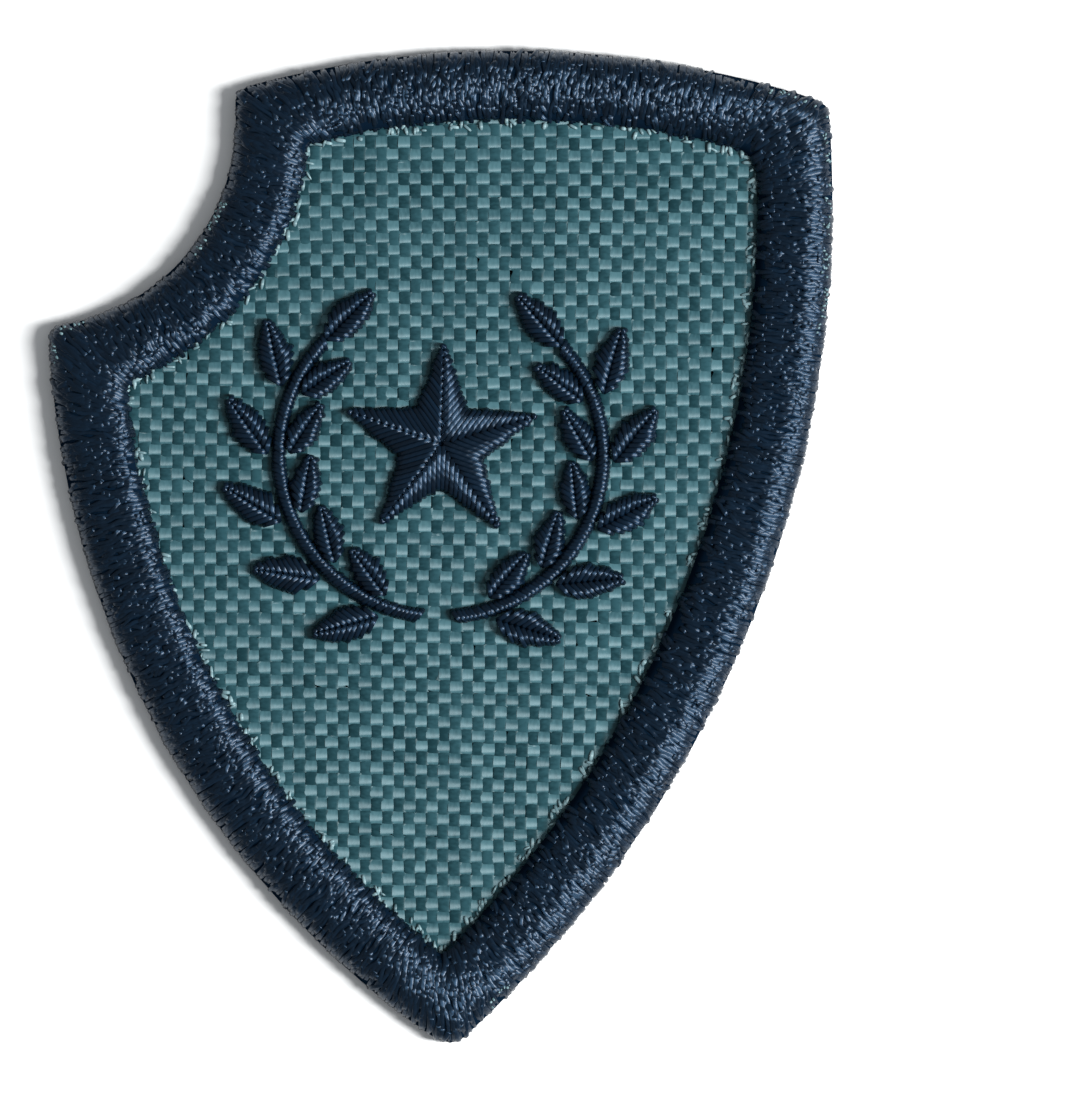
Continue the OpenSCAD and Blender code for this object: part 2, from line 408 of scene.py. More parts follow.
@dataclass
class MeshData:
    """Points, faces and per-face-corner UVs of a mesh that is being gathered, in millimetres."""

    points: list[np.ndarray] = field(default_factory=list)
    faces: list[np.ndarray] = field(default_factory=list)
    uvs: list[np.ndarray] = field(default_factory=list)
    tones: list[np.ndarray] = field(default_factory=list)
    count: int = 0

    def add(self, points: np.ndarray, groups: Iterable[tuple[np.ndarray, np.ndarray]],
            tone: np.ndarray) -> None:
        """Add points and faces.

        Args:
            points: Points by X, Y and Z.
            groups: Pairs of equal-sided faces, as point numbers, and UVs for their corners.
            tone: Tone of each point, from 0 to 1.
        """
        for faces, uvs in groups:
            self.faces.append(faces + self.count)
            self.uvs.append(uvs)
        self.points.append(points)
        self.tones.append(tone)
        self.count += len(points)

    def make(self, name: str, sides: int = 0, sharp: Sequence[int] = ()) -> bpy.types.Object:
        """Make the gathered mesh a smooth object at the origin.

        Args:
            name: Name of the object.
            sides: Number of corners in each ring of points, where some stay sharp.
            sharp: Numbers of the corners whose lengthwise edges stay sharp.

        Returns:
            The new object.
        """
        mesh = bpy.data.meshes.new(name)
        points = np.concatenate(self.points) * MM
        mesh.vertices.add(len(points))
        mesh.vertices.foreach_set("co", points.ravel())
        loops = np.concatenate([f.ravel() for f in self.faces])
        sizes = np.concatenate([np.full(len(f), f.shape[1]) for f in self.faces])
        mesh.loops.add(len(loops))
        mesh.loops.foreach_set("vertex_index", loops.astype(np.int32))
        mesh.polygons.add(len(sizes))
        starts = np.concatenate([[0], np.cumsum(sizes)[:-1]]).astype(np.int32)
        mesh.polygons.foreach_set("loop_start", starts)
        mesh.polygons.foreach_set("use_smooth", np.full(len(sizes), True))
        mesh.update(calc_edges=True)
        if sharp:
            ends = np.empty(2 * len(mesh.edges), dtype=np.int32)
            mesh.edges.foreach_get("vertices", ends)
            a, b = (ends.reshape(-1, 2) % sides).T
            mesh.edges.foreach_set("use_edge_sharp", (a == b) & np.isin(a, sharp))
        layer = mesh.uv_layers.new(name=UV_NAME)
        layer.uv.foreach_set("vector", np.concatenate([u.reshape(-1, 2) for u in self.uvs]).ravel())
        tone = mesh.attributes.new(TONE_NAME, "FLOAT", "POINT")
        tone.data.foreach_set("value", np.concatenate(self.tones).astype(np.float32))
        mesh.validate()
        piece = bpy.data.objects.new(name, mesh)
        bpy.context.scene.collection.objects.link(piece)
        return piece


def oval(sides: int) -> np.ndarray:
    """Give an oval section with an edge on top, as shares of its half width and half height."""
    angle = (np.arange(sides) + 0.5) / sides * FULL_TURN + math.pi / 2
    return np.stack([np.cos(angle), np.sin(angle)], 1)


def add_strands(data: MeshData, paths: np.ndarray, side: np.ndarray, width: np.ndarray,
                height: np.ndarray, tone: np.ndarray, section: np.ndarray = oval(6)) -> None:
    """Add strands with closed ends, all with the same number of points.

    Args:
        data: Mesh that takes the strands.
        paths: Strands by points by X, Y and Z.
        side: Direction of each strand's width, strands by 1 or points by X, Y and Z.
        width: Width of the section, strands by 1 or points.
        height: Height of the section, strands by 1 or points.
        tone: Tone, strands by 1 or points.
        section: Corners of the section as shares of its half width and half height.
    """
    strands, points, _ = paths.shape
    tangent = unit(np.gradient(paths, axis=1))
    side = unit(side - tangent * np.sum(side * tangent, axis=-1, keepdims=True))
    normal = np.cross(tangent, side)
    sides = len(section)
    across = np.broadcast_to(width, (strands, points))[..., None] / 2 * section[:, 0]
    up = np.broadcast_to(height, (strands, points))[..., None] / 2 * section[:, 1]
    rings = (paths[:, :, None, :] + side[:, :, None, :] * across[..., None]
             + normal[:, :, None, :] * up[..., None])
    numbers = np.arange(strands * points * sides).reshape(strands, points, sides)
    a, b = numbers[:, :-1, :], numbers[:, 1:, :]
    quads = np.stack([a, np.roll(a, -1, 2), np.roll(b, -1, 2), b], axis=-1).reshape(-1, 4)
    run = np.concatenate([np.zeros((strands, 1)),
                          np.cumsum(np.linalg.norm(np.diff(paths, axis=1), axis=2), axis=1)], axis=1)
    turns = np.arange(sides + 1) / sides
    u0 = np.broadcast_to(run[:, :-1, None], (strands, points - 1, sides))
    u1 = np.broadcast_to(run[:, 1:, None], (strands, points - 1, sides))
    v0 = np.broadcast_to(turns[:-1], u0.shape)
    v1 = np.broadcast_to(turns[1:], u0.shape)
    uvs = np.stack([np.stack([u0, v0], -1), np.stack([u0, v1], -1),
                    np.stack([u1, v1], -1), np.stack([u1, v0], -1)], axis=-2).reshape(-1, 4, 2)
    caps = np.concatenate([numbers[:, 0, ::-1], numbers[:, -1, :]])
    cap_uvs = np.zeros((len(caps), sides, 2))
    data.add(rings.reshape(-1, 3), [(quads, uvs), (caps, cap_uvs)],
             np.repeat(np.broadcast_to(tone, (strands, points)).ravel(), sides))


def ring_solid(data: MeshData, rings: np.ndarray) -> None:
    """Add a closed tube over rings of points, joined end to start.

    Args:
        data: Mesh that takes the tube.
        rings: Rings by points by X, Y and Z, each clockwise seen from behind.
    """
    n, m, _ = rings.shape
    numbers = np.arange(n * m).reshape(n, m)
    after = np.roll(numbers, -1, 0)
    quads = np.stack([numbers, np.roll(numbers, -1, 1), np.roll(after, -1, 1), after], axis=-1)
    quads = quads.reshape(-1, 4)
    data.add(rings.reshape(-1, 3), [(quads, np.zeros((len(quads), 4, 2)))], np.zeros(n * m))


def select_only(piece: bpy.types.Object) -> None:
    """Deselect everything, then select one object and make it active.

    Args:
        piece: The object.
    """
    for other in bpy.context.scene.objects:
        other.select_set(False)
    piece.select_set(True)
    bpy.context.view_layer.objects.active = piece


def pick(test: Callable[[bmesh.types.BMVert], bool]) -> None:
    """Select the points of the mesh being edited that pass a test, and the faces they close.

    Args:
        test: Tells whether a point is selected.
    """
    edited = bmesh.from_edit_mesh(bpy.context.edit_object.data)
    bpy.ops.mesh.select_mode(type="VERT")
    bpy.ops.mesh.select_all(action="DESELECT")
    for v in edited.verts:
        v.select_set(test(v))
    edited.select_flush(True)
    bmesh.update_edit_mesh(bpy.context.edit_object.data)


def join(pieces: Sequence[bpy.types.Object], name: str) -> bpy.types.Object:
    """Join objects into the first one and name it.

    Args:
        pieces: Objects to join.
        name: Name of the joined object.

    Returns:
        The joined object.
    """
    select_only(pieces[0])
    for other in pieces[1:]:
        other.select_set(True)
    bpy.ops.object.join()
    pieces[0].name = name
    return pieces[0]


@contextmanager
def editing(piece: bpy.types.Object) -> Iterator[None]:
    """Edit one piece's mesh, with all of it selected at first.

    Args:
        piece: The piece.

    Yields:
        Nothing, while the mesh is open for editing.
    """
    select_only(piece)
    bpy.ops.object.mode_set(mode="EDIT")
    bpy.ops.mesh.select_all(action="SELECT")
    yield
    bpy.ops.object.mode_set(mode="OBJECT")


def extrude_up(height: float) -> None:
    """Extrude what is selected upwards by a height in millimetres."""
    bpy.ops.mesh.extrude_region_move(TRANSFORM_OT_translate={"value": (0, 0, height * MM)})


def face_outwards() -> None:
    """Turn all the faces of the mesh being edited outwards."""
    bpy.ops.mesh.select_all(action="SELECT")
    bpy.ops.mesh.normals_make_consistent(inside=False)


def move_points(piece: bpy.types.Object, move: Callable[[np.ndarray], np.ndarray]) -> None:
    """Move a piece's points by a function that takes and gives millimetres.

    Args:
        piece: The piece.
        move: Gives the new points for the old ones, points by X, Y and Z.
    """
    points = np.array([v.co[:] for v in piece.data.vertices]) / MM
    for v, p in zip(piece.data.vertices, move(points)):
        v.co = p * MM


def node(tree: bpy.types.NodeTree, kind: str, settings: dict[str, object] | None = None,
         links: dict[str, object] | None = None) -> bpy.types.Node:
    """Add a shader node with its settings and links.

    Args:
        tree: Node tree that takes the node.
        kind: The node's type.
        settings: Values by name, of the node's own properties or of its input sockets.
        links: Output sockets by the name or number of the input they feed.

    Returns:
        The new node.
    """
    made = tree.nodes.new(kind)
    for key, value in (settings or {}).items():
        if key in made.inputs:
            made.inputs[key].default_value = value
        else:
            setattr(made, key, value)
    for key, output in (links or {}).items():
        tree.links.new(output, made.inputs[key])
    return made


def new_material(name: str) -> tuple[bpy.types.Material, bpy.types.NodeTree]:
    """Start an empty node material.

    Args:
        name: Name of the material.

    Returns:
        The material and its node tree.
    """
    material = bpy.data.materials.new(name)
    material.use_nodes = True
    material.node_tree.nodes.clear()
    return material, material.node_tree


@dataclass(frozen=True)
class StrandFinish:
    """Finish of a thread or yarn whose mesh has lengthwise UVs and a tone for each strand.

    The UVs run in millimetres along the strand and in turns round it. The shine is spread across
    the strand, because the filaments that give it lie along the strand. Streaks are the bundles of
    filaments in a millimetre along the strand and round it: real ones are finer and wouldn't show.
    Mottle is how far they shift the strand's tone. Depths and the plies' pitch are in millimetres.
    """

    name: str
    dark: str
    light: str
    glint: str
    roughness: float
    across: float
    level: float
    coat: float = 0.0
    coat_roughness: float = 0.24
    ply_pitch: float = 0.0
    ply_depth: float = 0.0
    filament_depth: float = 0.0
    streaks: tuple[float, float] = (2.0, 10.0)
    mottle: float = 0.0

    def make(self) -> bpy.types.Material:
        """Make the material.

        Returns:
            The new material.
        """
        material, tree = new_material(self.name)
        place = node(tree, "ShaderNodeUVMap", {"uv_map": UV_NAME})
        tone = node(tree, "ShaderNodeAttribute", {"attribute_name": TONE_NAME})
        stretch = node(tree, "ShaderNodeMapping", {"Scale": (*self.streaks, 1.0)},
                       {"Vector": place.outputs["UV"]})
        filaments = node(tree, "ShaderNodeTexNoise", {"Scale": 1.0, "Detail": 1.0},
                         {"Vector": stretch.outputs["Vector"]})
        worn = node(tree, "ShaderNodeMath", {"operation": "MULTIPLY_ADD"},
                    {0: filaments.outputs["Fac"], 2: tone.outputs["Fac"]})
        worn.inputs[1].default_value = NOISE_STRETCH * self.mottle
        centred = node(tree, "ShaderNodeMath", {"operation": "SUBTRACT"}, {0: worn.outputs["Value"]})
        centred.inputs[1].default_value = NOISE_STRETCH * NOISE_MIDDLE * self.mottle
        colour = node(tree, "ShaderNodeMix", {"data_type": "RGBA"}, {"Factor": centred.outputs["Value"]})
        colour.inputs[6].default_value = linear_colour(self.dark)
        colour.inputs[7].default_value = linear_colour(self.light)
        relief = node(tree, "ShaderNodeBump", {"Distance": self.filament_depth * MM},
                      {"Height": filaments.outputs["Fac"]})
        along = node(tree, "ShaderNodeTangent", {"direction_type": "UV_MAP", "uv_map": UV_NAME})
        shader = node(tree, "ShaderNodeBsdfPrincipled",
                      {"Roughness": self.roughness, "Specular Tint": linear_colour(self.glint),
                       "Specular IOR Level": self.level, "Anisotropic": self.across,
                       "Anisotropic Rotation": ACROSS, "Coat Weight": self.coat,
                       "Coat Roughness": self.coat_roughness},
                      {"Base Color": colour.outputs[2], "Normal": relief.outputs["Normal"],
                       "Coat Normal": relief.outputs["Normal"], "Tangent": along.outputs["Tangent"]})
        if self.ply_pitch:
            self.twist(tree, place, tone, relief)
        node(tree, "ShaderNodeOutputMaterial", links={"Surface": shader.outputs["BSDF"]})
        return material

    def twist(self, tree: bpy.types.NodeTree, place: bpy.types.Node, tone: bpy.types.Node,
              relief: bpy.types.Node) -> None:
        """Add the bulges of two plies twisted together under the filaments' own relief.

        Args:
            tree: The material's node tree.
            place: Node that gives the strand's UVs.
            tone: Node that gives the strand's tone.
            relief: Bump node of the filaments' relief.
        """
        phase = node(tree, "ShaderNodeVectorMath", {"operation": "DOT_PRODUCT"},
                     {0: place.outputs["UV"]})
        phase.inputs[1].default_value = (FULL_TURN / self.ply_pitch, PLIES * FULL_TURN, 0)
        start = node(tree, "ShaderNodeMath", {"operation": "MULTIPLY_ADD"},
                     {0: tone.outputs["Fac"], 2: phase.outputs["Value"]})
        start.inputs[1].default_value = PLY_START
        ply = node(tree, "ShaderNodeMath", {"operation": "SINE"}, {0: start.outputs["Value"]})
        bulge = node(tree, "ShaderNodeBump", {"Distance": self.ply_depth * MM},
                     {"Height": ply.outputs["Value"]})
        tree.links.new(bulge.outputs["Normal"], relief.inputs["Normal"])


@dataclass(frozen=True)
class CoatingFinish:
    """Finish of the cloth's stiff coated back, with the weave pressing through it."""

    name: str
    colour: str
    roughness: float
    yarn_pitch: float
    relief: float

    def make(self) -> bpy.types.Material:
        """Make the material.

        Returns:
            The new material.
        """
        material, tree = new_material(self.name)
        place = node(tree, "ShaderNodeTexCoord")
        fit = math.pi / (self.yarn_pitch * MM)
        stretch = node(tree, "ShaderNodeMapping", {"Scale": (fit, fit, fit)},
                       {"Vector": place.outputs["Object"]})
        axes = node(tree, "ShaderNodeSeparateXYZ", links={"Vector": stretch.outputs["Vector"]})
        across = node(tree, "ShaderNodeMath", {"operation": "SINE"}, {0: axes.outputs["X"]})
        along = node(tree, "ShaderNodeMath", {"operation": "SINE"}, {0: axes.outputs["Y"]})
        cells = node(tree, "ShaderNodeMath", {"operation": "MULTIPLY"},
                     {0: across.outputs["Value"], 1: along.outputs["Value"]})
        bump = node(tree, "ShaderNodeBump", {"Distance": self.relief * MM},
                    {"Height": cells.outputs["Value"]})
        shader = node(tree, "ShaderNodeBsdfPrincipled",
                      {"Base Color": linear_colour(self.colour), "Roughness": self.roughness},
                      {"Normal": bump.outputs["Normal"]})
        node(tree, "ShaderNodeOutputMaterial", links={"Surface": shader.outputs["BSDF"]})
        return material


@dataclass(frozen=True)
class PlainFinish:
    """Finish of one even colour."""

    name: str
    colour: str
    roughness: float
    level: float

    def make(self) -> bpy.types.Material:
        """Make the material.

        Returns:
            The new material.
        """
        material, tree = new_material(self.name)
        shader = node(tree, "ShaderNodeBsdfPrincipled",
                      {"Base Color": linear_colour(self.colour), "Roughness": self.roughness,
                       "Specular IOR Level": self.level})
        node(tree, "ShaderNodeOutputMaterial", links={"Surface": shader.outputs["BSDF"]})
        return material


# Rayon embroidery thread, two plies twisted: nearly black, silky blue where its filaments turn to
# the light, in beads because each ply dips under the other, with near-white glints on the beads
BORDER_THREAD = StrandFinish("rayon_thread_border", "#030a13", "#081827", "#74a0cb", roughness=0.46,
                             across=1.0, level=0.75, coat=0.2, ply_pitch=0.62, ply_depth=0.005,
                             filament_depth=0.004)
# The same thread on the device
DEVICE_THREAD = replace(BORDER_THREAD, name="rayon_thread_device")
# Padding under the stitches, the same thread in the shade of the others: dull and dark
THREAD_PADDING = PlainFinish("rayon_padding", "#081624", 0.8, 0.0)
# Warp yarns, woven from flat bundles of bulky polyester filament: streaky floats that shine in a
# band across, where the filaments turn to the light; their base colour, paler than the weft's, is painted
# light
WARP_YARN_PAINTED_LIGHT = StrandFinish("polyester_warp_painted_light", "#284a52", "#446870", "#e2f4f8", roughness=0.42, across=1.0,
                         level=0.53, filament_depth=0.006, mottle=0.3)
# Weft yarns of the same polyester, as high as the warp and duller: their darker base colour is
# painted shade, for the yarns being turned off the light
WEFT_YARN_PAINTED_SHADE = StrandFinish("polyester_weft_painted_shade", "#0c2d34", "#23464e", "#d4ecee", roughness=0.5, across=0.8,
                         level=0.55, filament_depth=0.006, mottle=0.4)
# Loose ends of the polyester yarns, untwisted by wear: their pale base colour is partly the loose
# fibres' own paler look and partly painted light, for the light that the raised ends catch
FRAYED_END_AND_PAINTED_LIGHT = StrandFinish("frayed_polyester", "#48636a", "#7b979d", "#e8f4f2", roughness=0.45,
                          across=0.95, level=0.5)
# Acrylic stiffening coat, spread on the back with a blade: dull, with the weave pressing through
BACK_COAT = CoatingFinish("acrylic_back_coat", "#1f3c42", 0.62, 0.88, 0.05)
# Matt white paper under the badge
FLOOR_PAPER = PlainFinish("white_paper", "#f6f7f7", 0.9, 0.5)


def dress(piece: bpy.types.Object, material: bpy.types.Material) -> None:
    """Give a piece one material."""
    piece.data.materials.clear()
    piece.data.materials.append(material)


def settle(piece: bpy.types.Object, nodes: Sequence[str] = ()) -> bpy.types.Object:
    """Ride a finished piece on the badge and hide the solids that it takes the place of.

    Args:
        piece: The finished piece.
        nodes: Names of the solids that the piece takes the place of.

    Returns:
        The same piece.
    """
    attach(piece, "root")
    if nodes:
        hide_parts(*nodes)
    return piece


@dataclass
class Border:
    """The stitched border: a padded core and the passes of thread wound over it.

    A share is of the border's width, in from the outer line. A wander is the numbers of its waves
    round the badge, and the size of each wave. A power says how late the top falls away from its
    crest, how near the two lines the passes' uneven ends show, and how flat a short thread's arch is.
    """

    shield: Shield
    thread: bpy.types.Material
    padding: bpy.types.Material
    top: float = 2.5
    shoulder: float = 1.25
    side: float = 0.8
    shoulder_share: float = 0.035
    fall_power: int = 3
    groove_top: float = 1.45
    groove_bottom: float = 0.25
    groove_chamfer: float = 0.1
    wrap_share: float = 0.13
    core_inset: float = 0.13
    core_foot: float = 0.04
    core_side: float = 0.4
    core_shares: tuple[float, ...] = (0.018, 0.045, 0.09, 0.18, 0.3, 0.45, 0.6, 0.75, 0.88, 0.97)
    measure_step: float = 0.12
    spacing: float = 0.28
    thread_w: float = 0.38
    thread_h: float = 0.18
    thread_sides: int = 5
    width_spread: float = 0.06
    most_fanned: float = 1.35
    foot: tuple[tuple[float, float], ...] = ((0.12, 0.17), (0.04, 0.17), (0.0, 0.45))
    rim_shares: tuple[float, ...] = (0.0, 0.02, 0.05)
    pass_shares: tuple[float, float, int] = (0.1, 0.94, 16)
    tuck: tuple[tuple[float, float], ...] = ((1.02, 1.25), (1.015, 1.05))
    end_drop: float = 0.16
    drop_from: float = 0.86
    inner_spread: float = 0.1
    inner_power: int = 3
    inner_wanders: tuple[tuple[tuple[int, ...], float], ...] = (((13, 29, 47), 0.03), ((149, 171), 0.05))
    rim_inset: float = 0.12
    rim_spread: float = 0.025
    rim_power: int = 6
    rim_wander: tuple[tuple[int, ...], float] = ((5, 11, 23, 41), 0.03)
    lean_spread: float = 0.15
    lean_wander: tuple[tuple[int, ...], float] = ((3, 5, 8), 0.3)
    ripple_turns: tuple[float, ...] = (7.0, 13.0, 19.0, 31.0)
    ripple_sideways: tuple[float, ...] = (0.1, 0.09, 0.06, 0.03)
    ripple_lift: tuple[float, ...] = (0.035, 0.03, 0.025, 0.025)
    over_count: int = 2800
    over_l: tuple[float, float] = (0.1, 0.26)
    knot_count: int = 110
    knot_l: tuple[float, float] = (0.07, 0.11)
    knot_power: int = 2
    over_power: int = 4
    over_points: int = 6
    over_reach: tuple[float, float] = (0.07, 0.96)
    over_limits: tuple[float, float] = (0.01, 0.98)
    over_lean: float = 2.0
    over_tilt: float = 0.1
    over_sunk: float = 0.15
    over_rise: float = 0.18
    back_spacing: float = 0.45
    back_w: float = 0.56
    back_h: float = 0.2
    back_sides: int = 4
    back_middle: float = 0.11
    back_shares: tuple[float, ...] = (0.05, 0.2, 0.6, 0.99)
    back_spreads: tuple[float, float] = (0.012, 0.006)
    knots: np.ndarray = field(init=False)
    tops: np.ndarray = field(init=False)
    run: np.ndarray = field(init=False)
    length: float = field(init=False)

    def __post_init__(self) -> None:
        """Measure the border round its middle line."""
        self.knots, self.tops = self.shield.fine_ring(self.measure_step)
        middle = self.knots.mean(axis=1)
        steps = np.linalg.norm(np.roll(middle, -1, 0) - middle, axis=1)
        self.run = np.cumsum(steps) - steps
        self.length = float(steps.sum())

    def place(self, run: np.ndarray, share: np.ndarray | float) -> np.ndarray:
        """Give flat places on the border.

        Args:
            run: Distance round the middle line.
            share: Share of the border's width in from the outer line.

        Returns:
            X and Y along a new last axis.
        """
        share = np.broadcast_to(share, run.shape)
        outer, inner = (np.stack([np.interp(run, self.run, self.knots[:, side, c], period=self.length)
                                  for c in (0, 1)], axis=-1) for side in (0, 1))
        return mix(outer, inner, share[..., None])

    def tops_at(self, run: np.ndarray) -> list[np.ndarray]:
        """Give the crest, lip and short length at distances round the middle line."""
        return [np.interp(run, self.run, column, period=self.length) for column in self.tops.T]

    def dome(self, share: np.ndarray, crest: np.ndarray, lip: np.ndarray) -> np.ndarray:
        """Give the height of the border's top, which has a rounded outer shoulder.

        Args:
            share: Share of the border's width in from the outer line.
            crest: Share at which the border is highest.
            lip: Height at the inner line.

        Returns:
            Height above the back.
        """
        share = np.clip(share, 0, 1)
        away = np.where(share < crest, (crest - share) / crest, (share - crest) / (1 - crest))
        end = np.where(share < crest, self.shoulder, lip)
        top = self.top - (self.top - end) * away ** self.fall_power
        short = np.clip(1 - share / self.shoulder_share, 0, 1)
        return self.side + (top - self.side) * np.sqrt(1 - short ** 2)

    def build_core(self) -> bpy.types.Object:
        """Build the padding under the thread, with the groove that holds the cloth.

        Returns:
            The padding.
        """
        ring, tops = self.shield.ring()
        over = np.array(self.core_shares)
        rim, inner, wrap = over[0], over[-1], self.wrap_share
        share = np.concatenate([[self.core_foot, rim], over, [inner, wrap, wrap, inner, inner]])
        side = np.tile([self.core_inset, self.core_side], (len(ring), 1))
        dome = self.dome(over[None, :], *tops.T[:2, :, None]) - self.core_inset
        groove = np.tile([self.groove_top - self.groove_chamfer, self.groove_top, self.groove_bottom,
                          self.groove_bottom, self.core_inset], (len(ring), 1))
        flat = mix(ring[:, 0, None, :], ring[:, 1, None, :], share[None, :, None])
        data = MeshData()
        ring_solid(data, raised(flat, np.concatenate([side, dome, groove], axis=1)))
        return data.make("border_core")

    def wander(self, run: np.ndarray, draw: np.random.Generator, waves: Sequence[int],
               size: float) -> np.ndarray:
        """Give a closed wander round the border.

        Args:
            run: Distance round the middle line.
            draw: Random numbers.
            waves: Whole numbers of waves round the badge.
            size: Height of each wave.

        Returns:
            The wander at each distance.
        """
        turn = run / self.length * FULL_TURN
        return size * sum(np.sin(w * turn + draw.uniform(0, FULL_TURN)) for w in waves)

    def build_threads(self) -> bpy.types.Object:
        """Build the passes of thread over the core, from the back's outer rim to the cloth.

        The ends of the passes are uneven at both lines, and each pass leans and ripples.

        Returns:
            The passes as one piece.
        """
        draw = np.random.default_rng(SEED + Draws.WOUND.value)
        count = round(self.length / self.spacing)
        run = (np.arange(count) + 0.5) / count * self.length
        width = np.linalg.norm(self.place(run, 0.0) - self.place(run, 1.0), axis=1)[:, None]
        over = np.concatenate([self.rim_shares, np.linspace(*self.pass_shares), [1.0]])
        foot, tuck = np.array(self.foot), np.array(self.tuck)
        share = np.tile(np.concatenate([foot[:, 0], over, tuck[:, 0]]), (count, 1))
        crest, lip, short = self.tops_at(run[:, None])
        top = self.dome(over[None, :], crest, lip) - self.thread_h / 2
        top -= self.end_drop * np.clip((over - self.drop_from) / (1 - self.drop_from), 0, 1) ** 2
        height = np.concatenate([np.tile(foot[:, 1], (count, 1)), top, np.tile(tuck[:, 1], (count, 1))],
                                axis=1)
        long_in = draw.normal(0, self.inner_spread, count) - short[:, 0]
        for waves, size in self.inner_wanders:
            long_in += self.wander(run, draw, waves, size)
        short_out = self.rim_inset + draw.normal(0, self.rim_spread, count)
        short_out += self.wander(run, draw, *self.rim_wander)
        inward = np.clip(share, 0, 1)
        share = (share + inward ** self.inner_power * (long_in[:, None] / width)
                 + (1 - inward) ** self.rim_power * (short_out[:, None] / width))
        lean = self.wander(run, draw, *self.lean_wander) + draw.normal(0, self.lean_spread, count)
        ripples = np.sin(inward[:, :, None] * np.array(self.ripple_turns)
                         + draw.uniform(0, FULL_TURN, (count, 1, len(self.ripple_turns))))
        ripples *= np.sin(inward * math.pi)[:, :, None]
        runs = run[:, None] + lean[:, None] * (inward - 0.5) + ripples @ np.array(self.ripple_sideways)
        lift = np.roll(ripples, 1, axis=0) @ np.array(self.ripple_lift)
        paths = raised(self.place(runs, share), height + lift)
        return self.finish_passes("border_thread", paths, run, draw)

    def build_over_threads(self) -> bpy.types.Object:
        """Build the short lengths of thread that show slanting over the others, and small knots.

        Returns:
            The short threads as one piece.
        """
        draw = np.random.default_rng(SEED + Draws.OVER.value)
        count = self.over_count + self.knot_count
        run = draw.uniform(0, self.length, count)
        steps = np.linspace(0, 1, self.over_points)[None, :]
        is_knot = np.arange(count)[:, None] < self.knot_count
        length = np.where(is_knot, draw.uniform(*self.knot_l, (count, 1)),
                          draw.uniform(*self.over_l, (count, 1)))
        share = draw.uniform(*self.over_reach, (count, 1)) - length / 2 + length * steps
        share = np.clip(share, *self.over_limits)
        lean = draw.normal(0, self.over_lean, (count, 1)) * length
        rise = 1 - (2 * steps - 1) ** np.where(is_knot, self.knot_power, self.over_power)
        tilt = np.where(is_knot, 0, draw.normal(0, self.over_tilt, (count, 1)))
        height = (self.dome(share, *self.tops_at(run[:, None])[:2]) - self.thread_h / 2 - self.over_sunk
                  + self.over_rise * rise + tilt * (steps - 0.5))
        runs = run[:, None] + lean * (steps - 0.5)
        paths = raised(self.place(runs, share), height)
        return self.finish_passes("border_over_thread", paths, run, draw)

    def finish_passes(self, name: str, paths: np.ndarray, run: np.ndarray,
                      draw: np.random.Generator) -> bpy.types.Object:
        """Make strands of border thread along paths, fatter where the passes fan out.

        Args:
            name: Name of the piece.
            paths: Strands by points by X, Y and Z.
            run: Distance of each strand round the middle line.
            draw: Random numbers.

        Returns:
            The strands as one piece.
        """
        fanned = np.linalg.norm(self.place(run + 0.5, 0.0) - self.place(run - 0.5, 0.0), axis=1)
        width = (self.thread_w * np.clip(np.sqrt(fanned), 1, self.most_fanned)
                 * draw.normal(1, self.width_spread, len(run)))
        data = MeshData()
        add_strands(data, paths, level_side(paths[:, -2, :2] - paths[:, 1, :2]), width[:, None],
                    np.full((len(run), 1), self.thread_h), thread_tones(draw, len(run)),
                    oval(self.thread_sides))
        return data.make(name)

    def build_back(self) -> bpy.types.Object:
        """Build the passes of thread under the cloth's edge, on the badge's back.

        Returns:
            The passes as one piece.
        """
        draw = np.random.default_rng(SEED + Draws.BACK.value)
        count = round(self.length / self.back_spacing)
        run = (np.arange(count) + 0.5) / count * self.length
        along, up = self.back_spreads
        share = np.tile(self.back_shares, (count, 1))
        share += draw.normal(0, along, share.shape)
        height = np.full(share.shape, self.back_middle) + draw.normal(0, up, (count, 1))
        runs = run[:, None] + draw.normal(0, self.lean_spread, (count, 1)) * (share - 0.5)
        paths = raised(self.place(runs, share), height)
        data = MeshData()
        add_strands(data, paths, level_side(paths[:, -1, :2] - paths[:, 0, :2]),
                    np.full((count, 1), self.back_w), np.full((count, 1), self.back_h),
                    thread_tones(draw, count), oval(self.back_sides))
        return data.make("border_back_thread")

    def build(self) -> list[bpy.types.Object]:
        """Build and dress the core, then the thread over, across and under it.

        Returns:
            The border's pieces, the core first.
        """
        core = self.build_core()
        dress(core, self.padding)
        settle(core, ["border"])
        threads = [self.build_threads(), self.build_over_threads(), self.build_back()]
        for piece in threads:
            dress(piece, self.thread)
            settle(piece)
        return [core, *threads]


@dataclass(frozen=True)
class Yarns:
    """Sizes of the yarns that run one way.

    Over and under are the shapes of a yarn that crosses over and under another one: pairs of a
    share of the way across, and there the share of the crimp.
    """

    way: Way
    axis: int
    pitch: float
    width: float
    height: float
    crimp: float
    over: tuple[tuple[float, float], ...]
    under: tuple[tuple[float, float], ...]


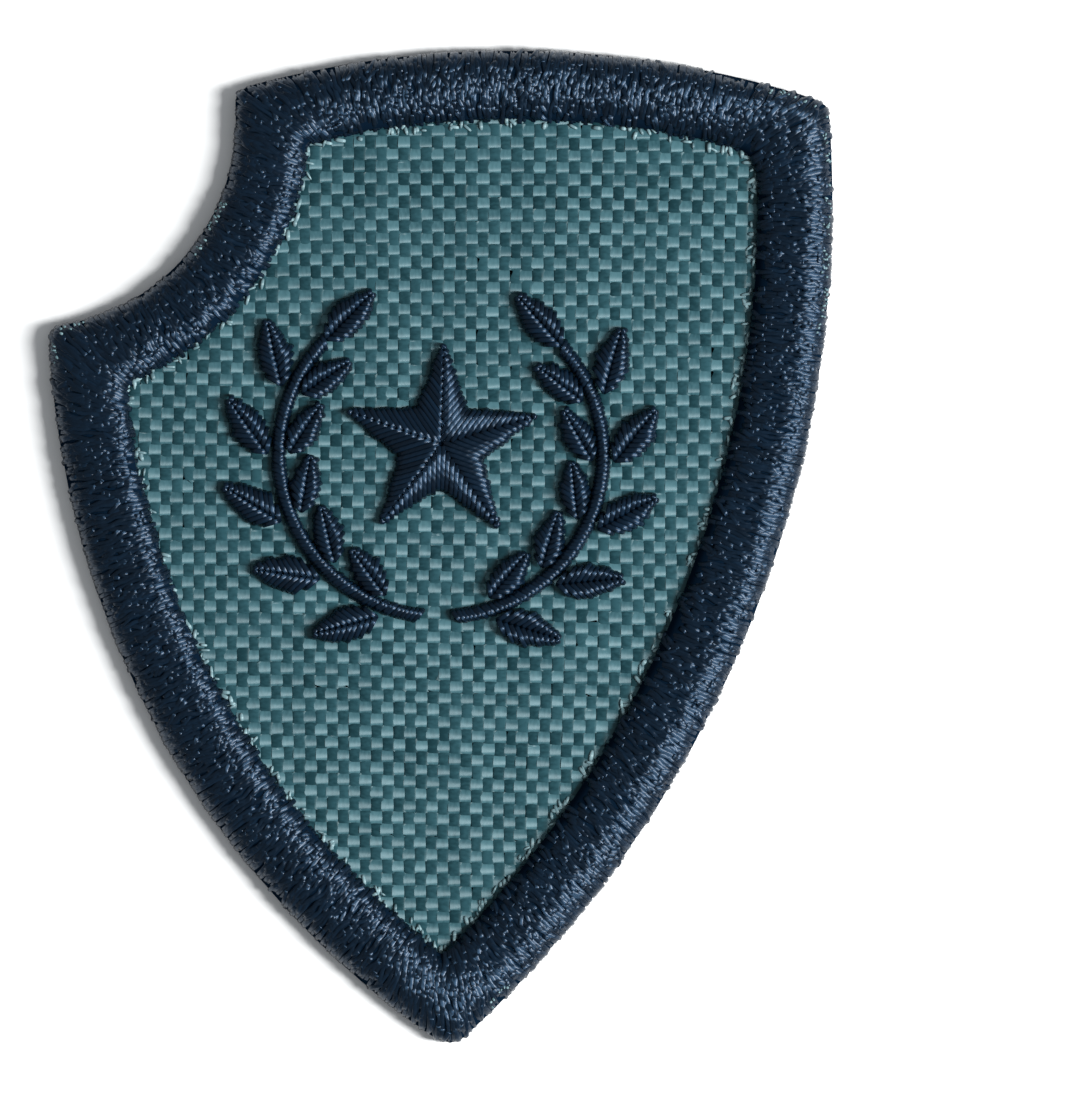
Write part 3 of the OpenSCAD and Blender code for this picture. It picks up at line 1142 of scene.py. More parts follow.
@dataclass
class GroundCloth:
    """The woven cloth: a stiff coated sheet with the yarns of its face.

    A warp float is highest near its lower end, so only that end meets the light. A wave of the
    grid is its size, its lengths across and up, and its start. Spreads are of a whole yarn, and of
    each of its crossings.
    """

    shield: Shield
    coat: bpy.types.Material
    weft_finish: bpy.types.Material
    warp_finish: bpy.types.Material
    weft: Yarns = Yarns(
        Way.WEFT, axis=0, pitch=0.917, width=0.98, height=0.26, crimp=0.1,
        over=((0, 0), (0.04, 0.2), (0.1, 0.42), (0.18, 0.63), (0.28, 0.82), (0.4, 0.95), (0.52, 1),
              (0.66, 0.98), (0.8, 0.9), (0.98, 0.75)),
        under=((0.1, 0.3), (0.5, -1)))
    warp: Yarns = Yarns(
        Way.WARP, axis=1, pitch=0.849, width=0.93, height=0.27, crimp=0.09,
        over=((0, 0), (0.05, 0.3), (0.1, 0.59), (0.15, 0.78), (0.2, 0.88), (0.26, 0.945), (0.33, 0.98),
              (0.42, 1), (0.52, 0.98), (0.64, 0.9), (0.78, 0.74), (0.91, 0.48)),
        under=((0, 0), (0.5, -1)))
    wrap_share: float = 0.13
    gap: float = 0.1
    bottom: float = 0.35
    coat_top: float = 1.02
    yarn_middle: float = 1.08
    pinch: float = 0.07
    section: tuple[tuple[float, float], ...] = ((-1.0, 1.0), (0.0, -1.0), (1.0, 1.0))
    seam_dip: float = 0.05
    seam_reach: float = 0.5
    seam_step: float = 0.4
    slant: float = -1.4
    lean: float = 1.0
    lean_share: float = 0.6
    waves_across: tuple[tuple[float, ...], ...] = ((0.10, 9.0, 6.5, 0.6), (0.05, -7.0, 2.9, 0.0))
    waves_up: tuple[tuple[float, ...], ...] = ((0.12, 11.0, -13.0, 1.9), (0.05, 3.7, 5.0, 0.0))
    tuck_share: float = 0.72
    most_yarns: int = 120
    place_spreads: tuple[float, float] = (0.02, 0.025)
    crimp_spread: float = 0.1
    lift_spread: float = 0.008
    width_spreads: tuple[float, float] = (0.02, 0.045)
    tone_spreads: tuple[float, float] = (0.12, 0.22)
    disc_r: float = 30.0
    flat_size: tuple[float, float] = (57.7, 73.8)
    flat_area: float = 2955.0

    def cut(self) -> np.ndarray:
        """Give the line that the cloth was cut to.

        Returns:
            Closed line, points by X and Y.
        """
        ring = self.shield.ring()[0]
        run = ring[:, 1] - ring[:, 0]
        width = np.linalg.norm(run, axis=1, keepdims=True)
        return ring[:, 0] + unit(run) * (self.wrap_share * width + self.gap)

    def build_sheet(self) -> bpy.types.Object:
        """Build the coated sheet from a flat disc that is moved onto the cut line.

        Returns:
            The sheet.
        """
        line = self.cut()[::-1]
        bpy.ops.mesh.primitive_circle_add(vertices=len(line), radius=self.disc_r * MM, fill_type="NGON",
                                          location=(0, 0, self.bottom * MM))
        sheet = bpy.context.object
        bpy.ops.object.transform_apply(location=True, rotation=True, scale=True)
        start = int(np.argmin(np.abs(np.arctan2(line[:, 1], line[:, 0]))))
        ordered = np.roll(line, -start, axis=0)
        first, after = (math.atan2(v.co.y, v.co.x) for v in sheet.data.vertices[:2])
        way = 1 if (after - first + math.pi) % FULL_TURN > math.pi else -1
        for i, v in enumerate(sheet.data.vertices):
            x, y = ordered[(way * i + round(first / FULL_TURN * len(line))) % len(line)]
            v.co = (x * MM, y * MM, self.bottom * MM)
        with editing(sheet):
            extrude_up(self.coat_top - self.bottom)
            face_outwards()
        sheet.name = "ground_cloth_sheet"
        return sheet

    def sway(self, x: np.ndarray, y: np.ndarray) -> tuple[np.ndarray, np.ndarray]:
        """Give how far the yarns wander from a true grid at a place, across and up.

        Args:
            x: Places across.
            y: Places up.

        Returns:
            Distances across and up at each place.
        """
        dx, dy = (sum(size * np.sin(x / across + y / up + start) for size, across, up, start in waves)
                  for waves in (self.waves_across, self.waves_up))
        dx = dx + y * math.tan(math.radians(self.lean)) * self.lean_share
        return dx, dy + x * math.tan(math.radians(self.slant))

    def span(self, line: np.ndarray, axis: int, at: float) -> tuple[float, float] | None:
        """Give where a straight grid line crosses an outline.

        Args:
            line: Closed outline in grid places.
            axis: Axis that the grid line runs along.
            at: Its place on the other axis.

        Returns:
            The first and last crossing, or None where it misses.
        """
        other = line[:, 1 - axis] - at
        after = np.roll(line, -1, 0)
        other_after = after[:, 1 - axis] - at
        hit = (other < 0) != (other_after < 0)
        if hit.sum() < 2:
            return None
        t = other[hit] / (other[hit] - other_after[hit])
        where = line[hit, axis] + (after[hit, axis] - line[hit, axis]) * t
        return float(where.min()), float(where.max())

    def dip(self, x: np.ndarray, y: np.ndarray, seam: np.ndarray) -> np.ndarray:
        """Give how far the stitching pulls the cloth down at a place near the border.

        Args:
            x: Places across.
            y: Places up.
            seam: The border's inner line.

        Returns:
            Depth at each place.
        """
        away = np.hypot(x[:, None] - seam[None, :, 0], y[:, None] - seam[None, :, 1]).min(axis=1)
        return self.seam_dip * np.exp(-(away / self.seam_reach) ** 2)

    def yarn_marks(self, yarns: Yarns, cross: float, j: int,
                   ends: tuple[float, float]) -> tuple[np.ndarray, np.ndarray]:
        """Give the marks along a yarn that its path goes through.

        Args:
            yarns: Sizes of the yarns that run its way.
            cross: Pitch of the yarns that it crosses.
            j: Its number.
            ends: Where it starts and ends.

        Returns:
            The marks, and the share of the crimp at each.
        """
        first, last = math.floor(ends[0] / cross), math.ceil(ends[1] / cross)
        shapes = [np.array(yarns.over if (n + j) % 2 == yarns.axis else yarns.under)
                  for n in range(first, last + 1)]
        along = np.concatenate([first + n + shape[:, 0] for n, shape in enumerate(shapes)]) * cross
        marks = np.concatenate([[ends[0]], along[(along > ends[0]) & (along < ends[1])], [ends[1]]])
        return marks, np.interp(marks, along, np.concatenate(shapes)[:, 1])

    def build_yarns(self, yarns: Yarns, cross: float) -> bpy.types.Object:
        """Build all the yarns that run one way, over and under those that cross them.

        Args:
            yarns: Sizes of the yarns.
            cross: Pitch of the yarns that they cross.

        Returns:
            The yarns as one piece.
        """
        draw = np.random.default_rng(SEED + Draws.YARN.value + yarns.axis)
        ring = self.shield.ring()[0]
        line = mix(ring[:, 0], ring[:, 1], self.tuck_share)
        line = line - np.stack(self.sway(line[:, 0], line[:, 1]), 1)
        seam = self.shield.fine_ring(self.seam_step)[0][:, 1]
        side = level_side(np.eye(2)[[yarns.axis]])
        data = MeshData()
        for j in range(-self.most_yarns // 2, self.most_yarns // 2 + 1):
            at = (j + 0.5) * yarns.pitch
            ends = self.span(line, yarns.axis, at)
            if ends is None or ends[1] - ends[0] < 2 * cross:
                continue
            marks, rise = self.yarn_marks(yarns, cross, j, ends)
            cell = np.floor(marks / cross).astype(int)
            cell -= cell.min()
            of_yarn, of_cell = self.place_spreads
            places = np.empty((len(marks), 3))
            places[:, yarns.axis] = marks
            places[:, 1 - yarns.axis] = at + draw.normal(0, of_yarn) + uneven(draw, 0, of_cell, cell)
            places[:, :2] += np.stack(self.sway(places[:, 0], places[:, 1]), 1)
            crimp = yarns.crimp * rise * uneven(draw, 1, self.crimp_spread, cell)
            places[:, 2] = (self.yarn_middle + crimp + draw.normal(0, self.lift_spread)
                            - self.dip(places[:, 0], places[:, 1], seam))
            of_yarn, of_cell = self.width_spreads
            wide = yarns.width * draw.normal(1, of_yarn) * uneven(draw, 1, of_cell, cell)
            wide = wide * (1 - self.pinch * (1 - np.clip(rise, 0, 1) ** 2))
            of_yarn, of_cell = self.tone_spreads
            tone = np.clip(draw.normal(0.5, of_yarn) + uneven(draw, 0, of_cell, cell), 0, 1)
            add_strands(data, places[None], side, wide[None], np.full((1, len(marks)), yarns.height),
                        tone[None], np.array(self.section))
        return data.make(f"{yarns.way.value}_yarns", len(self.section), (0, 2))

    def build(self) -> list[bpy.types.Object]:
        """Build and dress the coated sheet, then the yarns of its face.

        Returns:
            The cloth's pieces, the sheet first.
        """
        sheet = self.build_sheet()
        yarns = [self.build_yarns(self.weft, self.warp.pitch), self.build_yarns(self.warp, self.weft.pitch)]
        for piece, material in zip([sheet, *yarns], [self.coat, self.weft_finish, self.warp_finish]):
            dress(piece, material)
        settle(sheet, ["ground_cloth"])
        for piece in yarns:
            settle(piece)
        return [sheet, *yarns]


@dataclass
class Device:
    """Materials, sizes and placing that the star and the sprigs share."""

    thread: bpy.types.Material
    padding: bpy.types.Material
    y: float = 7.0
    turn: float = -1.4
    foot: float = 1.45
    dip: float = 0.2
    spacing: float = 0.33
    thread_w: float = 0.4
    thread_h: float = 0.22

    def place(self, points: np.ndarray) -> np.ndarray:
        """Move points from the device's own frame onto the badge.

        Args:
            points: Points, X, Y and Z along the last axis.

        Returns:
            The moved points.
        """
        out = turned(points, self.turn)
        out[..., 1] += self.y
        out[..., 2] += self.foot
        return out

    def stitch(self, data: MeshData, paths: np.ndarray, draw: np.random.Generator) -> None:
        """Add stitches that follow paths in the device's own frame.

        Args:
            data: Mesh that takes the stitches.
            paths: Stitches by points by X, Y and Z.
            draw: Random numbers.
        """
        placed = self.place(paths)
        size = (len(paths), 1)
        add_strands(data, placed, unit(level_side(placed[:, -1] - placed[:, 0])),
                    np.full(size, self.thread_w), np.full(size, self.thread_h),
                    thread_tones(draw, len(paths)))

    def finish(self, data: MeshData, core: bpy.types.Object, name: str) -> bpy.types.Object:
        """Make, dress and settle a stitched piece, with its padding joined to it.

        Args:
            data: The stitches.
            core: The padding.
            name: Name of the solid that the piece stands for.

        Returns:
            The piece.
        """
        stitches = data.make(f"{name}_stitches")
        dress(stitches, self.thread)
        dress(core, self.padding)
        return settle(join([stitches, core], stitches.name), [name])


@dataclass
class Star:
    """The five-pointed star: each arm is two slopes of stitches that meet on a ridge."""

    device: Device
    rise: float = 0.8
    r: float = 7.6
    notch_r: float = 3.3
    h: float = 0.9
    edge_h: float = 0.35
    core_share: float = 0.9
    core_drop: float = 0.15
    points: int = 5
    swell: float = 0.10
    over_ridge: float = 0.06
    end_spread: float = 0.1
    lift_spread: float = 0.02
    last_lift: float = 0.8
    shares: tuple[float, ...] = (0, 0.25, 0.5, 0.75, 0.93, 1.0)

    def rim(self, i: int) -> np.ndarray:
        """Give point i of the star's rim: an arm's point where i is even, or else a notch.

        Args:
            i: Number of the point, clockwise from the top.

        Returns:
            X and Y.
        """
        a = math.radians(90 - 180 / self.points * i)
        r = self.r if i % 2 == 0 else self.notch_r
        return np.array([r * math.cos(a), self.rise + r * math.sin(a)])

    def build_core(self) -> bpy.types.Object:
        """Build the padding: a disc pulled into a star, raised and poked up in the middle.

        Returns:
            The padding.
        """
        bpy.ops.mesh.primitive_circle_add(vertices=2 * self.points, fill_type="NGON",
                                          radius=self.r * self.core_share * MM)
        core = bpy.context.object
        notch = self.notch_r / self.r

        def is_notch(v: bmesh.types.BMVert) -> bool:
            """Tell whether a point of the disc becomes a notch."""
            turn = math.degrees(math.atan2(v.co.y, v.co.x)) - 90
            return round(turn / (180 / self.points)) % 2 == 1

        with editing(core):
            pick(is_notch)
            bpy.ops.transform.resize(value=(notch, notch, 1), center_override=(0, 0, 0))
            bpy.ops.mesh.select_all(action="SELECT")
            extrude_up(self.edge_h - self.core_drop)
            bpy.ops.mesh.poke(offset=(self.h - self.edge_h) * MM)
            face_outwards()
        move_points(core, lambda points: self.device.place(points + np.array([0.0, self.rise, 0.0])))
        return core

    def slope(self, arm: int, notch: np.ndarray, draw: np.random.Generator) -> np.ndarray:
        """Lay the stitches of one slope of an arm, from its ridge down to its edge.

        Args:
            arm: Number of the arm's point on the rim.
            notch: The notch beside that slope.
            draw: Random numbers.

        Returns:
            Stitches by points by X, Y and Z, in the device's own frame.
        """
        middle, tip = np.array([0.0, self.rise]), self.rim(arm)
        lean, ridge = unit(notch - middle), unit(tip - middle)
        slant = abs(float(ridge[0] * lean[1] - ridge[1] * lean[0]))
        count = int(self.r * slant / self.device.spacing)
        at = (np.arange(count) + 0.5)[:, None] / count
        end = mix(notch[None], tip[None], at)
        end = end + lean * np.abs(draw.normal(0, self.end_spread, (count, 1)))
        start = mix(middle[None], tip[None], at) - lean * self.over_ridge
        share = np.array(self.shares)
        flat = mix(start[:, None], end[:, None], share[None, :, None])
        height = mix(mix(self.h, self.edge_h, at), self.edge_h, share[None, :])
        height = height + self.swell * np.sin(share * math.pi)
        height[:, -1] = -self.device.dip
        height[:, -2] = self.edge_h * self.last_lift
        return raised(flat, height + draw.normal(0, self.lift_spread, (count, 1)))

    def build(self) -> list[bpy.types.Object]:
        """Build and dress the star.

        Returns:
            The star, as a list of one piece.
        """
        draw = np.random.default_rng(SEED + Draws.STAR.value)
        data = MeshData()
        for arm in range(0, 2 * self.points, 2):
            for notch in (self.rim(arm + 1), self.rim(arm + 2 * self.points - 1)):
                self.device.stitch(data, self.slope(arm, notch, draw), draw)
        return [self.device.finish(data, self.build_core(), "star")]


@dataclass
class Sprig:
    """A stem with leaves in pairs and one at its end, all in satin stitch.

    Angles are in degrees round the ring that the stem follows. A leaf's shape is pairs of a share
    of its length, and there the share of its width.
    """

    device: Device
    hand: Hand
    ring_r: float = 12.3
    stem_w: float = 0.9
    stem_h: float = 0.45
    stem_core_share: float = 0.7
    stem_from: float = -84.0
    stem_to: float = 43.0
    stem_skew: float = 0.35
    stem_spreads: tuple[float, float, float] = (0.003, 0.04, 0.015)
    stem_section: tuple[tuple[float, float], ...] = (
        (-1, 0), (-0.8, 0.55), (-0.35, 1), (0.35, 1), (0.8, 0.55), (1.0, 0))
    leaf_l: float = 5.2
    leaf_w: float = 2.4
    leaf_h: float = 0.65
    leaf_angle: float = 34.0
    leaf_pairs: int = 5
    leaf_from: float = -72.0
    stalk_l: float = 0.55
    inner_share: float = 0.86
    gap: float = 0.1
    lean: float = 48.0
    over_vein: float = 0.05
    end_spread: float = 0.09
    lift_spread: float = 0.02
    first_stitch: float = 0.3
    stitched_share: float = 0.98
    tip_lift: float = 0.6
    full_lift_l: float = 0.9
    trial_points: int = 200
    shape: tuple[tuple[float, float], ...] = (
        (0, 0.15), (0.12, 0.58), (0.3, 0.95), (0.5, 1), (0.72, 0.72), (0.9, 0.33), (1, 0.08))
    stitch_section: tuple[tuple[float, float], ...] = (
        (0, 0.5), (0.2, 0.86), (0.45, 1.02), (0.7, 0.9), (0.92, 0.45), (1.0, 0))
    core_l: float = 0.47
    core_w: float = 0.40
    core_h: float = 0.55
    core_middle: float = 0.72
    core_top: tuple[float, float] = (0.8, 0.6)
    core_beyond: float = 0.15
    core_sides: int = 8
    spin_steps: int = 24

    def mirrored(self, points: np.ndarray) -> np.ndarray:
        """Turn points of the right-hand sprig over to this sprig's side.

        Args:
            points: Points, X, Y and Z along the last axis.

        Returns:
            The points of this sprig.
        """
        if self.hand is Hand.RIGHT:
            return points
        return points * np.array([-1.0, 1.0, 1.0])

    def leaf_place(self, i: int) -> tuple[float, float, float, float]:
        """Give leaf i's size, the radius of its foot, its turn there and its place on the ring.

        Args:
            i: Number of the leaf, from 0: outer and inner in pairs upwards, then the end leaf.

        Returns:
            Size as a share, radius in millimetres, turn and angle on the ring in degrees.
        """
        if i == 2 * self.leaf_pairs:
            return 1.0, self.ring_r, 90.0, self.stem_to
        side = 1 if i % 2 == 0 else -1
        on_ring = mix(self.leaf_from, self.stem_to, (i // 2) / self.leaf_pairs)
        radius = self.ring_r + side * (self.stem_w / 2 + self.gap)
        return (1.0 if side > 0 else self.inner_share), radius, 90 - side * self.leaf_angle, on_ring

    def on_sprig(self, points: np.ndarray, i: int) -> np.ndarray:
        """Move points from leaf i's own frame, foot at the origin and tip along +X, to the device.

        Args:
            points: Points, X, Y and Z along the last axis.
            i: Number of the leaf, from 0.

        Returns:
            The moved points.
        """
        _, radius, turn, on_ring = self.leaf_place(i)
        out = points.copy()
        out[..., 0] += self.gap if i == 2 * self.leaf_pairs else self.stalk_l
        out = turned(out, turn)
        out[..., 0] += radius
        return self.mirrored(turned(out, on_ring))

    def leaf_paths(self, size: float, half: int, draw: np.random.Generator) -> np.ndarray:
        """Lay the stitches of half a leaf, from its vein slanting to its edge.

        Args:
            size: Size of the leaf as a share.
            half: 1 for the left half, or -1 for the right one.
            draw: Random numbers.

        Returns:
            Stitches by points by X, Y and Z, in the leaf's own frame.
        """
        length, wide = self.leaf_l * size, self.leaf_w * size / 2
        slope = math.tan(math.radians(self.lean))
        count = int(length * math.sin(math.radians(self.lean)) / self.device.spacing)
        run = np.linspace(0, length, self.trial_points)
        edge = wide * np.interp(run / length, *zip(*self.shape))
        share, lift = np.array(self.stitch_section).T
        paths = []
        for x0 in (np.arange(count) + self.first_stitch) / count * length * self.stitched_share:
            met = run[(slope * (run - x0) > edge) & (run > x0)]
            x1 = (float(met[0]) if len(met) else length) + abs(draw.normal(0, self.end_spread))
            x = mix(x0 - self.over_vein, x1, share)
            y = slope * (x1 - x0) * mix(-self.over_vein, 1, share)
            z = self.leaf_h * mix(self.tip_lift, 1, min(1.0, (x1 - x0) / self.full_lift_l)) * lift
            z[-1] = -self.device.dip
            paths.append(np.stack([x, half * y, z + draw.normal(0, self.lift_spread)], 1))
        return np.array(paths)

    def build_leaf(self, i: int) -> bpy.types.Object:
        """Build and dress leaf i.

        Args:
            i: Number of the leaf, from 0.

        Returns:
            The leaf.
        """
        draw = np.random.default_rng([SEED, Draws.LEAF.value, i, len(self.hand.value)])
        data = MeshData()
        for half in (1, -1):
            paths = self.leaf_paths(self.leaf_place(i)[0], half, draw)
            self.device.stitch(data, self.on_sprig(paths, i), draw)
        return self.device.finish(data, self.build_leaf_core(i), f"{self.hand.value}_leaf_{i + 1}")

    def build_leaf_core(self, i: int) -> bpy.types.Object:
        """Build a leaf's padding: a disc drawn out to a point at both ends and raised.

        Args:
            i: Number of the leaf, from 0.

        Returns:
            The padding.
        """
        size = self.leaf_place(i)[0]
        length, wide = self.leaf_l * size * self.core_l, self.leaf_w * size * self.core_w
        height = self.leaf_h * self.core_h
        bpy.ops.mesh.primitive_circle_add(vertices=self.core_sides, radius=1, fill_type="NGON")
        core = bpy.context.object
        with editing(core):
            bpy.ops.transform.resize(value=(length * self.core_middle * MM, wide * MM, 1),
                                     center_override=(0, 0, 0))
            pick(lambda v: abs(v.co.y) < NEAR * MM)
            bpy.ops.transform.resize(value=(1 / self.core_middle, 1, 1), center_override=(0, 0, 0))
            bpy.ops.mesh.select_all(action="SELECT")
            extrude_up(height)
            bpy.ops.transform.resize(value=(*self.core_top, 1), center_override=(0, 0, height))
            face_outwards()
        beyond_foot = np.array([length + self.core_beyond, 0.0, 0.0])
        move_points(core, lambda points: self.device.place(self.on_sprig(points + beyond_foot, i)))
        if self.hand is Hand.LEFT:
            core.data.flip_normals()
        return core

    def build_stem(self) -> bpy.types.Object:
        """Build and dress the stem: short slanting stitches over a thin cord of padding.

        Returns:
            The stem.
        """
        draw = np.random.default_rng([SEED, Draws.STEM.value, len(self.hand.value)])
        span = math.radians(self.stem_to - self.stem_from)
        count = int(span * self.ring_r / self.device.spacing)
        angle = math.radians(self.stem_from) + (np.arange(count) + 0.5)[:, None] / count * span
        share, z = np.array(self.stem_section).T
        z = self.stem_h * z
        z[0] = z[-1] = -self.device.dip
        turned_by, widened_by, lifted_by = (draw.normal(0, spread, (count, 1))
                                            for spread in self.stem_spreads)
        a = angle + share[None, :] * (self.stem_skew / self.ring_r) + turned_by
        r = self.ring_r + share[None, :] * (self.stem_w / 2 + np.abs(widened_by))
        height = z[None, :] + lifted_by
        paths = np.stack([r * np.cos(a), r * np.sin(a), height], axis=2)
        data = MeshData()
        self.device.stitch(data, self.mirrored(paths), draw)
        return self.device.finish(data, self.build_stem_core(), f"{self.hand.value}_stem")

    def build_stem_core(self) -> bpy.types.Object:
        """Build a stem's padding: a small oblong that is spun round the ring and closed.

        Returns:
            The padding.
        """
        start = math.radians(self.stem_from)
        width, height = self.stem_w * self.stem_core_share, self.stem_h * self.stem_core_share
        bpy.ops.mesh.primitive_plane_add(size=1)
        core = bpy.context.object
        for v in core.data.vertices:
            r = self.ring_r + v.co.x * width
            v.co = (r * math.cos(start) * MM, r * math.sin(start) * MM, (v.co.y + 0.5) * height * MM)
        with editing(core):
            bpy.ops.mesh.spin(steps=self.spin_steps, angle=math.radians(self.stem_from - self.stem_to),
                              center=(0, 0, 0), axis=(0, 0, 1))
            bpy.ops.mesh.select_all(action="SELECT")
            bpy.ops.mesh.remove_doubles(threshold=DOUBLE * MM)
        move_points(core, lambda points: self.device.place(self.mirrored(points)))
        with editing(core):
            bpy.ops.mesh.fill_holes(sides=0)
            face_outwards()
        return core

    def build(self) -> list[bpy.types.Object]:
        """Build and dress all the leaves and the stem.

        Returns:
            The sprig's pieces, the stem last.
        """
        leaves = [self.build_leaf(i) for i in range(2 * self.leaf_pairs + 1)]
        return [*leaves, self.build_stem()]


@dataclass(frozen=True)
class Tufts:
    """Sizes of a crowd of loose fibres: least and greatest length, rise and width, and their tones.

    The tones are the two numbers of a beta distribution.
    """

    length: tuple[float, float]
    rise: tuple[float, float]
    width: tuple[float, float]
    tone: tuple[float, float]


@dataclass
class Fray:
    """Loose ends of the cloth's yarns, beside the border and out of the cloth's cut edge.

    An outer spot is the X and Y of a place where cut ends poke out, and how far round it they do.
    """

    border: Border
    finish: bpy.types.Material
    inner_count: int = 300
    inner: Tufts = Tufts((0.35, 0.85), (0.02, 0.12), (0.16, 0.36), (2, 2))
    inner_reach: tuple[float, float] = (-0.15, 0.5)
    upright_share: float = 0.6
    heading_spread: float = 0.3
    cloth_top: float = 1.32
    outer_count: int = 700
    outer: Tufts = Tufts((0.1, 0.3), (0.0, 0.06), (0.12, 0.22), (2, 3))
    outer_reach: tuple[float, float] = (0.05, 0.14)
    outer_lift: tuple[float, float] = (-0.1, 0.06)
    outer_spread: float = 0.5
    outer_spots: tuple[tuple[float, float, float], ...] = (
        (28.5, 33.0, 4.0), (29.6, 22.0, 6.0), (-29.0, 15.5, 2.5), (-20.0, 25.0, 4.0), (5.5, -35.0, 2.0))
    taper: tuple[float, ...] = (0.8, 1.0, 1.0, 0.95, 0.6)
    flatness: float = 0.4
    sides: int = 5

    def tufts(self, name: str, sizes: Tufts, foot: np.ndarray, way: np.ndarray, length: np.ndarray,
              draw: np.random.Generator) -> bpy.types.Object:
        """Make short bent fibres.

        Args:
            name: Name of the piece.
            sizes: Their sizes and tones.
            foot: Starting points.
            way: Flat headings.
            length: Lengths.
            draw: Random numbers.

        Returns:
            The fibres as one piece.
        """
        count = len(foot)
        rise = draw.uniform(*sizes.rise, count)
        width = draw.uniform(*sizes.width, count)
        tone = draw.beta(*sizes.tone, count)
        t = np.linspace(0, 1, len(self.taper))
        flat = foot[:, None, :2] + way[:, None, :] * (length[:, None] * t[None, :])[..., None]
        height = foot[:, None, 2] + rise[:, None] * np.sin(t[None, :] * math.pi)
        taper = width[:, None] * np.array(self.taper)[None, :]
        data = MeshData()
        add_strands(data, raised(flat, height), level_side(way), taper, taper * self.flatness,
                    tone[:, None], oval(self.sides))
        return data.make(name)

    def build_inner(self, draw: np.random.Generator) -> bpy.types.Object:
        """Build the ends that stand up along the border's inner line.

        Args:
            draw: Random numbers.

        Returns:
            The ends as one piece.
        """
        count = self.inner_count
        run = draw.uniform(0, self.border.length, count)
        inner = self.border.place(run, 1.0)
        inward = unit(inner - self.border.place(run, 0.0))
        heading = np.where(draw.random(count) < self.upright_share, math.pi / 2, 0)
        heading = heading + draw.normal(0, self.heading_spread, count)
        way = np.stack([np.cos(heading), np.sin(heading)], 1)
        way = way * np.sign(np.sum(way * inward, axis=1, keepdims=True))
        length = draw.uniform(*self.inner.length, count)
        foot = inner - way * length[:, None] / 2 + inward * draw.uniform(*self.inner_reach, (count, 1))
        foot = raised(foot, np.full(count, self.cloth_top))
        return self.tufts("loose_ends_inner", self.inner, foot, way, length, draw)

    def build_outer(self, draw: np.random.Generator) -> bpy.types.Object:
        """Build the cloth's cut ends that poke out between the border's threads in a few places.

        Args:
            draw: Random numbers.

        Returns:
            The ends as one piece.
        """
        run = draw.uniform(0, self.border.length, self.outer_count)
        share = draw.uniform(*self.outer_reach, self.outer_count)
        foot = self.border.place(run, share)
        spots = np.array(self.outer_spots)
        near = np.linalg.norm(foot[:, None] - spots[None, :, :2], axis=2) < spots[None, :, 2]
        run, share, foot = (a[near.any(axis=1)] for a in (run, share, foot))
        outward = unit(foot - self.border.place(run, share + 0.5))
        along = level_side(outward)[:, 0, :2]
        way = unit(outward + along * draw.normal(0, self.outer_spread, (len(run), 1)))
        height = self.border.dome(share, *self.border.tops_at(run)[:2])
        foot = raised(foot, height + draw.uniform(*self.outer_lift, len(run)))
        length = draw.uniform(*self.outer.length, len(run))
        return self.tufts("loose_ends_outer", self.outer, foot, way, length, draw)

    def build(self) -> list[bpy.types.Object]:
        """Build and dress the loose ends.

        Returns:
            The inner ends and the outer ones.
        """
        draw = np.random.default_rng(SEED + Draws.FRAY.value)
        pieces = [self.build_inner(draw), self.build_outer(draw)]
        for piece in pieces:
            dress(piece, self.finish)
            settle(piece)
        return pieces


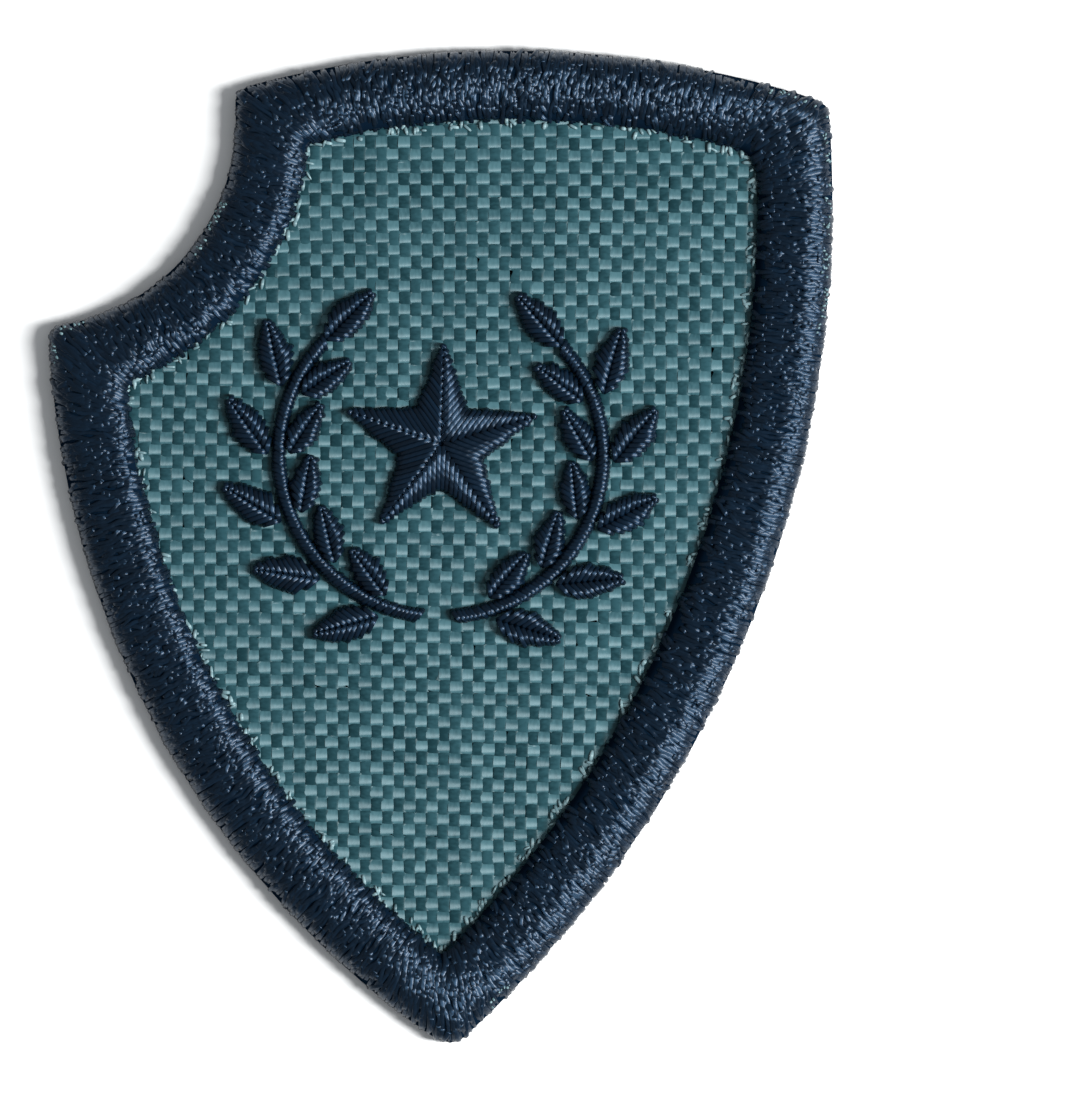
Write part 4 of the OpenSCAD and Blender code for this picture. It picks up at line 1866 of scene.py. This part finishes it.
@dataclass
class Studio:
    """The pale floor, the soft light and sky, and the camera straight above the badge."""

    paper: bpy.types.Material
    floor_side: float = 2400.0
    floor_drop: float = 0.02
    lens: float = 300.0
    sensor: float = 36.0
    image_px: tuple[int, int] = (1074, 1095)
    mm_a_px: float = 0.0758
    badge_middle_px: tuple[float, float] = (441.0, 547.0)
    face_height: float = 1.4
    key_way: tuple[float, float, float] = (0.766, -0.13, 0.63)
    key_distance: float = 600.0
    key_sizes: tuple[float, float] = (160.0, 320.0)
    key_power: float = 8.0
    sky_colour: str = "#f4f8fc"
    sky_strength: float = 0.33

    def build_floor(self) -> None:
        """Build the floor under the badge."""
        bpy.ops.mesh.primitive_plane_add(size=self.floor_side * MM, location=(0, 0, 0))
        floor = bpy.context.object
        bpy.ops.object.transform_apply(location=True, rotation=True, scale=True)
        for v in floor.data.vertices:
            v.co.z = -self.floor_drop * MM
        floor.name = "floor"
        dress(floor, self.paper)

    def build_camera(self) -> None:
        """Build the camera, straight above the middle of the photograph's frame."""
        data = bpy.data.cameras.new("camera")
        data.lens, data.sensor_width = self.lens, self.sensor
        camera = bpy.data.objects.new("camera", data)
        bpy.context.scene.collection.objects.link(camera)
        height = max(self.image_px) * self.mm_a_px * self.lens / self.sensor
        x = (self.image_px[0] / 2 - self.badge_middle_px[0]) * self.mm_a_px
        y = (self.badge_middle_px[1] - self.image_px[1] / 2) * self.mm_a_px
        camera.location = (x * MM, y * MM, (self.face_height + height) * MM)
        bpy.context.scene.camera = camera

    def build_light(self) -> None:
        """Build the oblong soft light that points at the badge from the right."""
        data = bpy.data.lights.new("key", "AREA")
        data.shape, data.energy = "RECTANGLE", self.key_power
        data.size, data.size_y = (side * MM for side in self.key_sizes)
        lamp = bpy.data.objects.new("key", data)
        bpy.context.scene.collection.objects.link(lamp)
        lamp.location = tuple(unit(np.array(self.key_way)) * self.key_distance * MM)
        lamp.rotation_euler = lamp.location.to_track_quat("Z", "Y").to_euler()

    def build_sky(self) -> None:
        """Build the even light from all round."""
        world = bpy.data.worlds.new("sky")
        world.use_nodes = True
        back = world.node_tree.nodes["Background"]
        back.inputs["Color"].default_value = linear_colour(self.sky_colour)
        back.inputs["Strength"].default_value = self.sky_strength
        bpy.context.scene.world = world
        bpy.context.scene.view_settings.view_transform = "Standard"

    def build(self) -> None:
        """Build the floor, the camera and the lights."""
        self.build_floor()
        self.build_camera()
        self.build_light()
        self.build_sky()


def main() -> None:
    """Build the studio, then the badge's sub-assemblies in order, and report each piece."""
    logging.basicConfig(level=logging.INFO, format="%(name)s: %(message)s")
    Studio(FLOOR_PAPER.make()).build()
    shield = Shield()
    cloth = GroundCloth(shield, BACK_COAT.make(), WEFT_YARN_PAINTED_SHADE.make(), WARP_YARN_PAINTED_LIGHT.make())
    padding = THREAD_PADDING.make()
    border = Border(shield, BORDER_THREAD.make(), padding)
    device = Device(DEVICE_THREAD.make(), padding)
    sprigs = [Sprig(device, hand) for hand in Hand]
    for assembly in (cloth, border, Star(device), *sprigs, Fray(border, FRAYED_END_AND_PAINTED_LIGHT.make())):
        for piece in assembly.build():
            triangles = sum(len(p.vertices) - 2 for p in piece.data.polygons)
            log.info("%s: %d triangles", piece.name, triangles)


if __name__ == "__main__":
    main()
